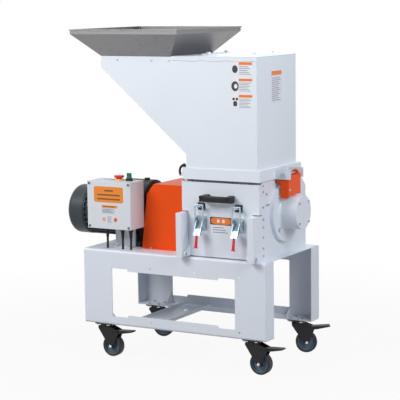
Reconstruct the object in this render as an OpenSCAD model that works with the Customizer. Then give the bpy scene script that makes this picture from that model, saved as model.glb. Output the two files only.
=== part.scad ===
// Beside the press plastic granulator on a wheeled frame, with a tilting hopper and a drop down front door.
// Millimetres. X runs along the machine from the motor to the bearing, Y to the back and Z up.
// The origin is on the floor, under the middle of the frame.

/* [Frame] */
// Length of the frame
frame_w = 810; // [760:10:900]
// Deck left free in front of the side plates
deck_front = 40; // [35:1:60]
// Height of the folded side panels
panel_h = 300; // [260:5:360]
// Thickness of the frame's sheet
sheet_t = 3; // [2:0.5:4]
// Outer radius of the long bends
bend_r = 9; // [6:1:14]
// Width of the folded returns at the four corners
return_w = 70; // [50:5:90]
// Width of the inward flanges that carry the casters
flange_w = 74; // [72:1:90]
// Length of the window in each panel
window_w = 550; // [400:10:580]
// Height of the window at its ends
window_h = 194; // [140:2:210]
// Length of the narrower middle of the window
window_mid_w = 404; // [300:4:440]
// How far the beams above and below widen in the middle
window_step = 9; // [4:1:20]
// Height of the window's middle above the panel's lower edge
window_rise = 132; // [120:1:150]
// Radius of the window's corners
window_r = 5; // [2:1:10]
// Distance between the outer fixing holes in a panel, along the frame
panel_hole_w = 587; // [570:1:620]
// Distance between the upper and lower fixing holes in a panel
panel_hole_h = 213; // [210:1:230]
// Diameter of the fixing holes
panel_hole_d = 6.6; // [4:0.1:9]
// Width of the cross beam
beam_w = 124; // [80:2:160]
// Height of the cross beam's folded edges
beam_h = 14; // [8:1:30]
// Middle of the cross beam, to the left of the frame's middle
beam_left = 148; // [100:1:180]

/* [Casters] */
// Overall height of a caster, floor to frame
caster_h = 136; // [130:1:150]
// Diameter of a wheel
wheel_d = 86; // [76:1:90]
// Width of a tyre
tyre_w = 30; // [24:1:32]
// Thickness of the tyre's rubber
tyre_t = 9; // [6:1:12]
// Distance from the swivel axis to the wheel's axle
caster_trail = 33; // [26:1:36]
// Distance from the frame's end to a swivel axis
caster_inset_x = 73; // [60:1:90]
// Distance from the frame's side to a swivel axis
caster_inset_y = 41; // [40:1:42]
// Side of the square top plate
caster_plate_w = 68; // [62:1:70]
// Distance between the bolts of a top plate
caster_bolt_gap = 48; // [47:1:49]

/* [Chamber] */
// Left face of the chamber, from the frame's middle
chamber_x = 40; // [30:1:60]
// Width of the chamber over both side plates
chamber_w = 332; // [300:2:350]
// Chamber wall left above the bearing flange
flange_margin = 14; // [12:1:20]
// Thickness of a side plate
plate_t = 25; // [20:1:30]
// Distance from the rotor's axis to the chamber's back face
back_reach = 197; // [190:1:205]
// Distance from the rotor's axis to the upper front edge of a side plate
front_reach = 180; // [176:1:184]
// Distance from the rotor's axis to the front edge of the wings
wing_reach = 252; // [245:1:258]
// Height of the wings
wing_h = 172; // [160:1:185]
// Height and depth of the slope at the top of the back
back_slope = 52; // [40:1:60]
// Thickness of the back wall
wall_t = 20; // [14:1:24]
// Height of the rotor's axis above the deck
rotor_rise = 167; // [160:1:172]
// Rotor axis behind (plus) or before (minus) the frame's middle
rotor_y = -15; // [-20:1:-8]

/* [Rotor] */
// Diameter of the circle that the knives cut
knife_circle_d = 200; // [180:2:210]
// Diameter of the shaft
shaft_d = 50; // [44:1:56]
// Number of knives on the rotor
knife_count = 3; // [2:1:4]
// Thickness of a rotor knife
knife_t = 8; // [6:1:10]
// Width of a rotor knife
knife_w = 38; // [30:1:42]
// Thickness of a rotor arm
arm_t = 30; // [22:1:34]
// Number of arm discs along the rotor
arm_slices = 4; // [2:1:6]
// Gap between the knife circle and a bed knife
cut_gap = 0.8; // [0.4:0.1:2]
// Thickness of a bed knife
bed_knife_t = 12; // [8:1:14]
// Gap between the knife circle and the screen
screen_gap = 4; // [3:0.5:6]
// Thickness of the screen
screen_t = 4; // [3:0.5:6]
// Diameter of the holes in the screen
screen_hole_d = 14; // [8:1:16]
// Distance between the holes in the screen
screen_pitch = 22; // [18:1:30]

/* [Bearings] */
// Diameter of the housing's flange
housing_flange_d = 232; // [210:2:240]
// Thickness of the housing's flange
housing_flange_t = 15; // [10:1:20]
// Diameter of the housing's barrel
housing_d = 130; // [120:1:140]
// How far the right housing stands out from its side plate
housing_reach = 78; // [70:1:86]
// How far the left housing stands out from its side plate
left_housing_reach = 58; // [50:1:66]
// Outer diameter of a bearing
bearing_d = 90; // [84:1:100]
// Width of a bearing
bearing_w = 23; // [18:1:28]
// Thickness of a bearing cap
cap_t = 8; // [5:1:12]

/* [Door] */
// Thickness of the door's sheet
door_t = 3; // [2:0.5:4]
// How far the door's face stands before the side plates
door_depth = 22; // [18:1:24]
// Gap between the door and the skirt, the deck and the wings
door_gap = 4; // [3:0.5:6]
// Height of the door's pivot above the deck
pivot_rise = 14; // [13:0.5:16]
// Distance from the door's face to its pivot
pivot_out = 33; // [30:1:36]
// Diameter of the door's pivot pins
pivot_d = 12; // [10:0.5:13]
// Length of the door's handle
handle_l = 134; // [110:2:160]
// How far the handle stands out
handle_out = 36; // [30:1:45]
// Width of the handle's grip
grip_w = 24; // [18:1:28]

/* [Latches] */
// Distance between the two latches
latch_gap = 160; // [140:2:180]
// Width of a latch's base
latch_w = 44; // [38:1:50]
// Height of a latch's base
latch_h = 58; // [50:1:66]
// Diameter of the loop's rod
loop_d = 5; // [4:0.5:6]
// Distance between the loop's two legs
loop_w = 34; // [30:1:36]
// Height of the keeper's ledge above the deck
keeper_rise = 202; // [198:1:206]

/* [Hopper] */
// Height from the chamber's top to the hopper's top
hopper_h = 465; // [420:5:500]
// Length of the hopper's top
hopper_w = 681; // [640:1:720]
// Width of the hopper's throat, left to right
throat_w = 304; // [280:2:310]
// Depth of the hopper, front to back
hopper_d = 326; // [300:2:330]
// Thickness of the hopper's sheet
hopper_t = 2.5; // [2:0.5:4]
// Height of the straight part below the hopper's top
brow_h = 44; // [30:1:70]
// Height of the straight throat above the skirt
throat_h = 52; // [40:1:80]
// Height of the skirt
skirt_h = 43; // [36:1:50]
// Gap between the skirt and the chamber, filled by the seal
seal_t = 2; // [1:0.5:4]

/* [Tray] */
// Height of the feed tray
tray_h = 105; // [80:1:130]
// Height of the tray's folded rim
tray_rim = 18; // [10:1:24]
// How far the tray spreads on its left and right
tray_spread_x = 82; // [50:1:100]
// How far the tray spreads at its front and back
tray_spread_y = 92; // [60:1:110]
// Thickness of the tray's sheet
tray_t = 1.5; // [1:0.5:3]
// Length of the tray's mouth on the hopper
mouth_w = 312; // [280:2:330]

/* [Hinge] */
// Distance from the side plate to the hopper's hinge axis
hinge_out = 37; // [34:1:40]
// Height of the hinge axis above the chamber's top
hinge_rise = 17; // [15:1:20]
// Diameter of the hinge rod
hinge_rod_d = 10; // [8:0.5:12]
// Distance between the hinge ears, outside to outside
hinge_w = 114; // [100:1:130]
// Length of the bracket's front leg below the axis
bracket_drop = 88; // [80:1:92]

/* [Drive] */
// Diameter of the motor's fan cowl
motor_d = 200; // [180:2:210]
// Length of the motor with its cowl
motor_l = 240; // [220:2:260]
// Length of the fan cowl
cowl_l = 70; // [60:1:90]
// How far the motor's axis lies below the rotor's axis
motor_drop = 43; // [30:1:48]
// Length of the gear unit
gear_l = 124; // [110:1:130]
// Number of cooling ribs round the motor
rib_count = 28; // [20:2:36]
// Length of the coupling guard
guard_l = 235; // [225:1:245]
// Height of the coupling guard
guard_h = 258; // [250:1:270]
// Depth of the coupling guard
guard_d = 230; // [200:2:240]
// Diameter of the coupling
coupling_d = 96; // [80:1:110]

/* [Control box] */
// Width of the control box
box_w = 200; // [180:2:210]
// Height of the control box
box_h = 188; // [170:2:200]
// Depth of the control box
box_d = 100; // [90:1:104]
// Height of the box above the deck
box_rise = 83; // [70:1:100]
// Thickness of the box's wall
box_t = 3; // [2:0.5:4]
// Diameter of the emergency stop's head
stop_d = 40; // [36:1:44]
// Travel of the emergency stop
stop_travel = 4; // [3:0.5:5]
// Diameter of the selector's bezel
bezel_d = 30; // [26:1:34]

/* [Hidden] */
$fn = 48;
// Overrun of every cut
cut = 1;
// Running fit of a shaft or pin in its bore
fit = 0.05;
// Gap between curved or moving faces
clear = 0.3;
// Clearance of a bolt in its hole, on the radius
bolt_clear = 0.5;
deck_z = caster_h + panel_h;
rotor_z = deck_z + rotor_rise;
frame_d = 2 * (front_reach - rotor_y + deck_front);
plate_in_x = chamber_x + plate_t;
chamber_x1 = chamber_x + chamber_w;
plate_in_x1 = chamber_x1 - plate_t;
inside_w = chamber_w - 2 * plate_t;
chamber_h = rotor_rise + housing_flange_d / 2 + flange_margin;
top_z = deck_z + chamber_h;
back_y = rotor_y + back_reach;
plate_front_y = rotor_y - front_reach;
wing_y = rotor_y - wing_reach;
wing_z = deck_z + wing_h;
face_y = plate_front_y - door_depth;
knife_r = knife_circle_d / 2;
screen_r = knife_r + screen_gap;
seam_y = back_y - back_slope;
hinge_x = chamber_x1 + hinge_out;
hinge_z = top_z + hinge_rise;
seal_z = top_z + seal_t;
skirt_z = seal_z + skirt_h;
hopper_z = top_z + hopper_h;
// The skirt covers the chamber's top, with a margin on every side
skirt_margin = 5;
skirt_x0 = chamber_x + skirt_margin;
skirt_x1 = chamber_x1 + skirt_margin;
skirt_y0 = face_y - skirt_margin;
skirt_y1 = seam_y + skirt_margin;
throat_x1 = chamber_x1 - skirt_margin;
throat_x0 = throat_x1 - throat_w;
hopper_x0 = throat_x1 - hopper_w;
hopper_y0 = face_y - skirt_margin + hopper_t;
mouth_x1 = hopper_x0 + mouth_w;
tray_z = hopper_z + tray_h;

// A rectangle with round corners, centred
module round_rect(w, h, r) {
    square([w - 2 * r, h], center = true);
    square([w, h - 2 * r], center = true);
    for (x = [-1, 1], y = [-1, 1]) translate([x * (w / 2 - r), y * (h / 2 - r)]) circle(r);
}
// Extrudes a YZ outline along X
module along_x(l) rotate([90, 0, 90]) linear_extrude(l) children();
// Extrudes an XZ outline along Y
module along_y(l) translate([0, l, 0]) rotate([90, 0, 0]) linear_extrude(l) children();
module rod_x(r, l) rotate([0, 90, 0]) cylinder(r = r, h = l);
module rod_y(r, l) rotate([-90, 0, 0]) cylinder(r = r, h = l);
// A hexagon bolt along Z with its head above zero and its shank below
module hex_bolt(d, l) {
    cylinder(d = head_w_share * d, h = head_h_share * d, $fn = 6);
    translate([0, 0, -l]) cylinder(d = d, h = l);
}
// Size of a bolt's head as shares of its thread
head_w_share = 1.9;
head_h_share = 0.65;
// A socket screw along Z with its head above zero and its shank below
module socket_screw(d, l) {
    difference() {
        cylinder(d = socket_w_share * d, h = d);
        translate([0, 0, d / 2]) cylinder(d = d, h = d, $fn = 6);
    }
    translate([0, 0, -l]) cylinder(d = d, h = l);
}
socket_w_share = 1.6;

// Frame and casters
caster_bolt_d = 8;
caster_places = [
    [-frame_w / 2 + caster_inset_x, -frame_d / 2 + caster_inset_y],
    [frame_w / 2 - caster_inset_x, -frame_d / 2 + caster_inset_y],
    [-frame_w / 2 + caster_inset_x, frame_d / 2 - caster_inset_y],
    [frame_w / 2 - caster_inset_x, frame_d / 2 - caster_inset_y]];
// How far each caster is turned on its swivel, in degrees
caster_turns = [0, 0, 10, 28];
caster_plate_t = 4;
raceway_d = 52;
raceway_h = 10;
kingpin_d = 12;
kingpin_head_h = 4;
fork_t = 3;
axle_d = 10;
window_z = caster_h + window_rise;
cable_d = 9;
// Left face of the control box, and the three cables below it
box_left = frame_w / 2 - 18;
box_x = -box_left;
cable_xs = [for (s = [0.335, 0.69, 0.88]) box_x + s * box_w];
// Opening in the deck below the screen
outlet_margin = 14;
module panel_outline() {
    // Outline of the folded sheet across the frame: deck, two panels and two flanges
    difference() {
        translate([0, caster_h + panel_h / 2]) round_rect(frame_d, panel_h, bend_r);
        translate([0, caster_h + panel_h / 2])
            round_rect(frame_d - 2 * sheet_t, panel_h - 2 * sheet_t, bend_r - sheet_t);
        translate([-frame_d / 2 + flange_w, caster_h - cut]) square([frame_d - 2 * flange_w, panel_h / 2]);
    }
}
module window_shape() {
    round_rect(window_w, window_h - 2 * window_step, window_r);
    for (side = [-1, 1]) translate([side * (window_w + window_mid_w) / 4, 0])
        round_rect((window_w - window_mid_w) / 2, window_h, window_r);
}
module corner_return(x) {
    // Folded upright return at one end of a panel, with its slanted inner edge
    translate([x, 0, 0]) along_x(sheet_t) polygon([
        [-frame_d / 2 + sheet_t, caster_h + sheet_t], [-frame_d / 2 + return_w, caster_h + sheet_t],
        [-frame_d / 2 + return_w, deck_z - sheet_t], [-frame_d / 2 + sheet_t, deck_z - sheet_t]]);
}
gusset_w = 52;
module corner_gusset(x) {
    translate([x, 0, 0]) along_x(sheet_t) polygon([
        [-frame_d / 2 + sheet_t, caster_h + sheet_t], [-frame_d / 2 + gusset_w, caster_h + sheet_t],
        [-frame_d / 2 + sheet_t, caster_h + gusset_w]]);
}
module deck_frame() {
    color("aliceblue") difference() {
        union() {
            translate([-frame_w / 2, 0, 0]) along_x(frame_w) panel_outline();
            for (m = [0, 1]) mirror([0, m, 0]) {
                for (x = [-frame_w / 2, frame_w / 2 - sheet_t]) corner_return(x);
                for (side = [-1, 1]) corner_gusset(side * (frame_w / 2 - caster_inset_x - gusset_w));
            }
        }
        for (y = [-frame_d / 2 - cut, frame_d / 2 - sheet_t - cut]) translate([0, y, window_z])
            along_y(sheet_t + 2 * cut) window_shape();
        for (x = [-panel_hole_w / 2, -panel_hole_w / 6, panel_hole_w / 6, panel_hole_w / 2], z = [-1, 1])
            translate([x, -frame_d / 2 - cut, window_z + z * panel_hole_h / 2])
                rod_y(panel_hole_d / 2, sheet_t + 2 * cut);
        for (p = caster_places, x = [-1, 1], y = [-1, 1])
            translate([p.x + x * caster_bolt_gap / 2, p.y + y * caster_bolt_gap / 2, caster_h - cut])
                cylinder(d = caster_bolt_d + 2 * bolt_clear, h = sheet_t + 2 * cut);
        translate([plate_in_x + outlet_margin, rotor_y - knife_r, deck_z - sheet_t - cut])
            cube([inside_w - 2 * outlet_margin, knife_circle_d, sheet_t + 2 * cut]);
        for (x = cable_xs) translate([x, cable_y, deck_z - sheet_t - cut])
            cylinder(d = cable_d + 2 * clear, h = sheet_t + 2 * cut);
        for (x = motor_cable_xs) translate([x, motor_cable_y, deck_z - sheet_t - cut])
            cylinder(d = cable_d + 2 * clear, h = sheet_t + 2 * cut);
        translate([cable_xs[2], frame_d / 2 - sheet_t - cut, under_z])
            rod_y(inlet_d / 2 + clear, sheet_t + 2 * cut);
    }
}
beam_slot_w = 16;
beam_slot_l = 46;
module cross_beam() {
    // Channel that lies on the two lower flanges
    l = frame_d - 2 * bend_r;
    color("lightsteelblue") translate([-beam_left, 0, caster_h + sheet_t]) difference() {
        translate([0, -l / 2, 0]) along_y(l) difference() {
            translate([-beam_w / 2, 0]) square([beam_w, beam_h]);
            translate([-beam_w / 2 + sheet_t, sheet_t]) square([beam_w - 2 * sheet_t, beam_h]);
        }
        for (y = [-l / 4, l / 4]) translate([0, y, -cut]) linear_extrude(sheet_t + 2 * cut)
            round_rect(beam_slot_w, beam_slot_l, beam_slot_w / 2 - cut);
    }
}
module at_caster(i) translate([caster_places[i].x, caster_places[i].y, 0]) rotate(caster_turns[i]) children();
module caster_plates() {
    color("dimgray") for (p = caster_places) translate([p.x, p.y, 0]) {
        translate([0, 0, caster_h - caster_plate_t]) linear_extrude(caster_plate_t) difference() {
            round_rect(caster_plate_w, caster_plate_w, window_r);
            for (x = [-1, 1], y = [-1, 1]) translate([x * caster_bolt_gap / 2, y * caster_bolt_gap / 2])
                circle(d = caster_bolt_d + 2 * bolt_clear);
        }
        translate([0, 0, caster_h - caster_plate_t - raceway_h]) {
            cylinder(d1 = raceway_d - raceway_h, d2 = raceway_d, h = raceway_h);
            translate([0, 0, -fork_t - 2 * clear - kingpin_head_h]) {
                cylinder(d = kingpin_d, h = fork_t + 2 * clear + kingpin_head_h);
                cylinder(d = 2 * kingpin_d, h = kingpin_head_h);
            }
        }
    }
}
module caster_bolts() {
    // Bolts through the flange, with their heads above and their nuts below
    color("silver") for (p = caster_places, x = [-1, 1], y = [-1, 1])
        translate([p.x + x * caster_bolt_gap / 2, p.y + y * caster_bolt_gap / 2, caster_h + sheet_t]) {
            hex_bolt(caster_bolt_d, sheet_t + caster_plate_t);
            translate([0, 0, -sheet_t - caster_plate_t - caster_nut_h])
                cylinder(d = head_w_share * caster_bolt_d, h = caster_nut_h, $fn = 6);
        }
}
caster_nut_h = 5;
fork_z = caster_h - caster_plate_t - raceway_h - clear;
fork_gap = tyre_w / 2 + fork_t * 0.75;
fork_top_r = raceway_d / 2;
pedal_x = caster_trail + 0.27 * wheel_d;
pedal_z = 1.16 * wheel_d;
pedal_pin_d = 6;
module fork_side() {
    // One leg of the fork, from the top plate down to the axle
    hull() {
        translate([-fork_top_r, fork_z - 3 * fork_t]) square([2 * fork_top_r, 3 * fork_t]);
        translate([pedal_x, pedal_z]) circle(1.5 * pedal_pin_d, $fn = 24);
        translate([caster_trail, wheel_d / 2]) circle(axle_d, $fn = 24);
    }
}
module fork(i) {
    // Pressed fork with its axle and the rivets of the brake
    w = 2 * (fork_gap + fork_t);
    color("black") at_caster(i) difference() {
        union() {
            for (y = [-fork_gap - fork_t, fork_gap]) translate([0, y, 0]) along_y(fork_t) fork_side();
            translate([-fork_top_r, -w / 2, fork_z - fork_t]) cube([2 * fork_top_r, w, fork_t]);
            for (x = [pedal_x, pedal_x - 2.7 * pedal_pin_d]) translate([x, -w / 2 - fork_t / 2, pedal_z])
                rod_y(pedal_pin_d / 2, w + fork_t);
            translate([caster_trail, -w / 2 - fork_t, wheel_d / 2]) rod_y(axle_d / 2, w + 2 * fork_t);
            for (y = [-w / 2 - fork_t, w / 2]) translate([caster_trail, y, wheel_d / 2])
                rod_y(axle_d * 0.8, fork_t);
        }
        translate([0, 0, fork_z - fork_t - cut]) cylinder(r = kingpin_d / 2 + fit, h = fork_t + 2 * cut);
    }
}
hub_w = 2 * fork_gap - 2 * clear;
module at_wheel(i) at_caster(i) translate([caster_trail, 0, wheel_d / 2]) children();
rim_r = wheel_d / 2 - tyre_t;
module wheel(i) {
    // Moulded wheel centre with a dished web and a bored hub, in a rubber tyre
    color("slategray") at_wheel(i) rotate([90, 0, 0]) rotate_extrude() polygon([
        [axle_d / 2 + fit, -hub_w / 2], [axle_d, -hub_w / 2], [axle_d + fork_t, -tyre_w / 6],
        [rim_r - fork_t, -tyre_w / 6], [rim_r - fork_t, -tyre_w / 2 + fork_t], [rim_r, -tyre_w / 2 + fork_t],
        [rim_r, tyre_w / 2 - fork_t], [rim_r - fork_t, tyre_w / 2 - fork_t], [rim_r - fork_t, tyre_w / 6],
        [axle_d + fork_t, tyre_w / 6], [axle_d, hub_w / 2], [axle_d / 2 + fit, hub_w / 2]]);
    s = tyre_t / 2;
    color("black") at_wheel(i) rotate([90, 0, 0]) rotate_extrude() union() {
        translate([rim_r + fit, -tyre_w / 2 + s]) square([tyre_t - fit, tyre_w - 2 * s]);
        translate([rim_r + fit, -tyre_w / 2]) square([tyre_t - s - fit, tyre_w]);
        for (y = [-1, 1]) translate([rim_r + tyre_t - s, y * (tyre_w / 2 - s)]) circle(s);
    }
}
pedal_l = wheel_d * 0.81;
pedal_w = 2 * fork_gap - 4 * clear;
module pedal(i) {
    // Brake pedal on the fork's rivet, with its tread beyond the wheel
    color("black") at_caster(i) translate([pedal_x, -pedal_w / 2, pedal_z]) along_y(pedal_w) difference() {
        polygon([[-1.5 * pedal_pin_d, -pedal_pin_d / 2], [-1.2 * pedal_pin_d, pedal_pin_d],
            [pedal_pin_d, pedal_pin_d * 1.3],
            [pedal_l, pedal_pin_d * 1.8], [pedal_l * 1.04, pedal_pin_d], [pedal_l / 3, -pedal_pin_d * 0.6],
            [0, -pedal_pin_d]]);
        circle(pedal_pin_d / 2 + fit);
    }
}

// Chamber
spigot_d = 110;
housing_bolt_d = 10;
// Flange of the left housing, which fits under the guard
left_flange_d = 170;
// A housing's bolts stand midway between its barrel and its rim
function bolt_circle(flange_d) = (flange_d + housing_d) / 2;
module plate_outline() {
    polygon([[wing_y, deck_z], [back_y, deck_z], [back_y, top_z - back_slope], [seam_y, top_z],
        [plate_front_y, top_z], [plate_front_y, wing_z], [wing_y, wing_z]]);
}
module both_plates() {
    translate([chamber_x, 0, 0]) children();
    translate([plate_in_x1, 0, 0]) children();
}
pivot_y = face_y - pivot_out;
pivot_z = deck_z + pivot_rise;
module side_plates() {
    color("white") difference() {
        both_plates() along_x(plate_t) plate_outline();
        translate([chamber_x - cut, rotor_y, rotor_z]) rod_x(spigot_d / 2, chamber_w + 2 * cut);
        translate([chamber_x - cut, pivot_y, pivot_z]) rod_x(pivot_d / 2 + fit, chamber_w + 2 * cut);
        for (a = [45:90:315]) {
            on_right() rotate([a, 0, 0]) translate([-plate_t, 0, bolt_circle(housing_flange_d) / 2])
                rod_x(housing_bolt_d / 2 + bolt_clear, plate_t + cut);
            on_left() rotate([a, 0, 0]) translate([-plate_t, 0, bolt_circle(left_flange_d) / 2])
                rod_x(housing_bolt_d / 2 + bolt_clear, plate_t + cut);
        }
        for (s = side_screw_places)
            translate([chamber_x1 - side_screw_l, plate_front_y - s[0], deck_z + s[1] * chamber_h])
                rod_x(side_screw_d / 2 + fit, side_screw_l + cut);
    }
}
side_screw_d = 6;
side_screw_l = 14;
side_screw_inset = 9;
// Screws down the right plate: distance behind its front edge, share of the chamber's height
side_screw_height_shares = [0.955, 0.88, 0.685, 0.53, 0.43, 0.3, 0.16, 0.065];
side_screw_places = concat([for (h = side_screw_height_shares) [-side_screw_inset, h]],
    [[-4 * side_screw_inset, 0.84], [-4 * side_screw_inset, 0.7], [-6 * side_screw_inset, 0.7]]);
module side_screw_group() {
    for (s = side_screw_places)
        translate([chamber_x1, plate_front_y - s[0], deck_z + s[1] * chamber_h]) rotate([0, 90, 0])
            difference() {
                union() {
                    cylinder(d = socket_w_share * side_screw_d, h = side_screw_d / 2);
                    translate([0, 0, -side_screw_l]) cylinder(d = side_screw_d, h = side_screw_l);
                }
                cylinder(d = side_screw_d, h = side_screw_d, $fn = 6);
            }
}
front_wall_t = 12;
front_wall_y = plate_front_y + door_t;
module chamber_walls() {
    // Back wall, sloped at its top to meet the hopper, and the front wall above the front knife bar
    color("white") translate([plate_in_x, 0, 0]) along_x(inside_w) {
        polygon([[back_y - wall_t, deck_z], [back_y, deck_z], [back_y, top_z - back_slope], [seam_y, top_z],
            [seam_y - wall_t, top_z], [back_y - wall_t, top_z - back_slope - wall_t * 0.4]]);
        translate([front_wall_y, rotor_z]) square([front_wall_t, top_z - rotor_z]);
    }
}
module chamber_seal() {
    // Rubber frame on the chamber's top, under the hopper's skirt
    color("black") translate([chamber_x + skirt_margin, front_wall_y, top_z]) difference() {
        cube([chamber_w - 2 * skirt_margin, seam_y - front_wall_y, seal_t - clear / 3]);
        translate([plate_t - 2 * skirt_margin, front_wall_t, -cut])
            cube([chamber_w + 2 * skirt_margin - 2 * plate_t, seam_y - front_wall_y - 2 * front_wall_t,
                seal_t + 2 * cut]);
    }
}
bar_face = 30;
knife_edge_r = knife_r + cut_gap;
bed_knife_w = 44;
module bar_outline(reach) {
    // Section of a knife bar: a shelf under the knife, with a slope that leads chips to the rotor
    polygon([[screen_r, -bar_face / 2], [screen_r + screen_t, -bar_face], [reach, -bar_face], [reach, 0],
        [screen_r, 0]]);
}
module knife_bars() {
    color("gainsboro") translate([plate_in_x, rotor_y, rotor_z]) {
        along_x(inside_w) bar_outline(back_reach - wall_t);
        along_x(inside_w) mirror([1, 0]) bar_outline(rotor_y - front_wall_y);
    }
}
module bed_knives() {
    // Fixed knives on the bars, held under a sloped clamp
    color("silver") translate([plate_in_x + clear, rotor_y, rotor_z]) for (m = [0, 1]) mirror([0, m, 0])
        along_x(inside_w - 2 * clear) polygon([[knife_edge_r, 0], [knife_edge_r + bed_knife_w, 0],
            [knife_edge_r + bed_knife_w, bed_knife_t], [knife_edge_r + bed_knife_t / 2, bed_knife_t]]);
}
screen_w = inside_w - 2 * clear;
// Angles over which the screen wraps under the rotor, from the level
screen_start = 16;
screen_holes_across = floor((screen_w - screen_pitch) / screen_pitch);
screen_step = screen_pitch / (screen_r + screen_t / 2) * 180 / PI;
screen_rows = floor((180 - 2 * screen_start) / screen_step) - 1;
module lower_arc(r0, r1, a) {
    // Ring sector below the rotor, open for the same angle at both sides
    difference() {
        circle(r1, $fn = 96);
        circle(r0, $fn = 96);
        translate([0, r1 * cos(90 - a) * -1 + r1]) square([4 * r1, 2 * r1], center = true);
    }
}
module screen() {
    // Bent plate with rows of round holes
    color("silver") translate([plate_in_x + clear, rotor_y, rotor_z]) difference() {
        along_x(screen_w) lower_arc(screen_r, screen_r + screen_t, screen_start);
        for (row = [0:screen_rows - 1], i = [0:screen_holes_across - 1])
            rotate([90 + (row - (screen_rows - 1) / 2) * screen_step, 0, 0])
                translate([(screen_w - (screen_holes_across - 1) * screen_pitch) / 2 + i * screen_pitch, 0, 0])
                    rotate([90, 0, 0]) translate([0, 0, screen_r - cut])
                        cylinder(d = screen_hole_d, h = screen_t + 2 * cut);
    }
}
cradle_rib_t = 10;
cradle_depth = 16;
cradle_bar = 18;
cradle_pin_d = 10;
cradle_pin_y = rotor_y + screen_r + cradle_depth + 2;
cradle_pin_z = rotor_z - bar_face - cradle_pin_d;
module screen_cradle() {
    // Curved ribs on two bars that hold the screen up, with eyes at the back for its hinge
    r = screen_r + screen_t + clear;
    color("darkgray") difference() {
        union() {
            translate([plate_in_x + clear, rotor_y, rotor_z]) {
                for (i = [0:3]) translate([i * (screen_w - cradle_rib_t) / 3, 0, 0])
                    along_x(cradle_rib_t) lower_arc(r, r + cradle_depth, 2 * screen_start);
                for (y = [-1, 1]) along_x(screen_w) translate([y * (r + cradle_depth / 2) * cos(2 * screen_start),
                    -(r + cradle_depth) * sin(2 * screen_start) - cradle_bar / 4])
                        square(cradle_bar / 2, center = true);
            }
            for (x = [plate_in_x + clear, plate_in_x1 - clear - cradle_rib_t]) translate([x, 0, 0])
                along_x(cradle_rib_t) {
                    translate([cradle_pin_y, cradle_pin_z]) circle(cradle_pin_d * 0.8);
                    polygon([[cradle_pin_y - cradle_pin_d * 0.7, cradle_pin_z + cradle_pin_d * 0.4],
                        [cradle_pin_y + cradle_pin_d * 0.7, cradle_pin_z - cradle_pin_d * 0.4],
                        [cradle_pin_y - cradle_bar, cradle_pin_z - 2.4 * cradle_bar],
                        [cradle_pin_y - 1.4 * cradle_bar, cradle_pin_z - 1.8 * cradle_bar]]);
                }
        }
        translate([chamber_x, cradle_pin_y, cradle_pin_z]) rod_x(cradle_pin_d / 2 + fit, chamber_w);
    }
}

// Rotor
arm_r = knife_r - 14;
body_gap = 3;
rotor_w = inside_w - 2 * body_gap;
module arm_outline() {
    circle(shaft_d * 0.9);
    for (i = [0:knife_count - 1]) rotate(i * 360 / knife_count)
        translate([0, -arm_t * 0.66]) square([arm_r, arm_t]);
}
module rotor() {
    // Shaft with spaced arm discs and a seat for each knife
    slice = rotor_w / (2 * arm_slices - 1);
    color("dimgray") translate([0, rotor_y, rotor_z]) {
        translate([plate_in_x + body_gap, 0, 0]) {
            for (i = [0:arm_slices - 1]) translate([2 * i * slice, 0, 0]) along_x(slice) arm_outline();
            rod_x(shaft_d * 0.75, rotor_w);
        }
        translate([chamber_x - left_housing_reach - shaft_out, 0, 0])
            rod_x(shaft_d / 2, chamber_w + left_housing_reach + shaft_out + housing_reach - 2 * cap_t);
    }
}
shaft_out = 62;
module rotor_knives() {
    // Bevelled knives along the arms, set back from the tip circle at their heel
    y0 = arm_t * 0.34;
    tip = sqrt(knife_r * knife_r - (y0 + knife_t) * (y0 + knife_t));
    color("silver") translate([plate_in_x + body_gap, rotor_y, rotor_z]) for (i = [0:knife_count - 1])
        rotate([i * 360 / knife_count, 0, 0]) along_x(rotor_w) polygon([[tip - knife_w, y0],
            [tip - knife_t, y0], [tip, y0 + knife_t], [tip - knife_w, y0 + knife_t]]);
}

// Bearings
bearing_seat = 12;
bearing_gap = 1;
cap_screw_d = 6;
cap_screw_gap = (housing_d + bearing_d) / 2;
module bearing_housing(reach, flange_d, fillet) {
    // Flanged barrel with a spigot in the side plate, its flange on zero and its barrel towards X
    difference() {
        union() {
            rod_x(flange_d / 2, housing_flange_t);
            rod_x(housing_d / 2, reach);
            translate([housing_flange_t, 0, 0]) rotate([0, 90, 0])
                cylinder(r1 = housing_d / 2 + fillet, r2 = housing_d / 2, h = 6 * bearing_gap);
            translate([-plate_t, 0, 0]) rod_x(spigot_d / 2 - fit, plate_t);
        }
        translate([bearing_seat, 0, 0]) rod_x(bearing_d / 2 + fit, reach);
        translate([-plate_t - cut, 0, 0]) rod_x(shaft_d / 2 + 4 * clear, reach + plate_t + 2 * cut);
        for (a = [45:90:315]) rotate([a, 0, 0]) {
            translate([-cut, 0, bolt_circle(flange_d) / 2])
                rod_x(housing_bolt_d / 2 + bolt_clear, housing_flange_t + 2 * cut);
            translate([reach - 2 * cap_screw_d, 0, cap_screw_gap / 2])
                rod_x(cap_screw_d / 2 + fit, 2 * cap_screw_d + cut);
        }
    }
}
module on_right() translate([chamber_x1, rotor_y, rotor_z]) children();
module on_left() translate([chamber_x, rotor_y, rotor_z]) mirror([1, 0, 0]) children();
module bearing_housings() {
    color("white") {
        on_right() bearing_housing(housing_reach, housing_flange_d, 6 * bearing_gap);
        on_left() bearing_housing(left_housing_reach, left_flange_d, 0);
    }
}
module bearing() {
    // Outer ring, inner bore for the shaft, and a groove between the rings on both faces
    groove_r0 = shaft_d / 2 + 6 * bearing_gap;
    groove_r1 = bearing_d / 2 - 6 * bearing_gap;
    translate([bearing_seat, 0, 0]) rotate([0, 90, 0]) rotate_extrude() difference() {
        translate([shaft_d / 2 + fit, 0]) square([(bearing_d - shaft_d) / 2 - fit, bearing_w]);
        for (z = [-cut, bearing_w - bearing_gap]) translate([groove_r0, z])
            square([groove_r1 - groove_r0, bearing_gap + cut]);
    }
}
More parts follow.
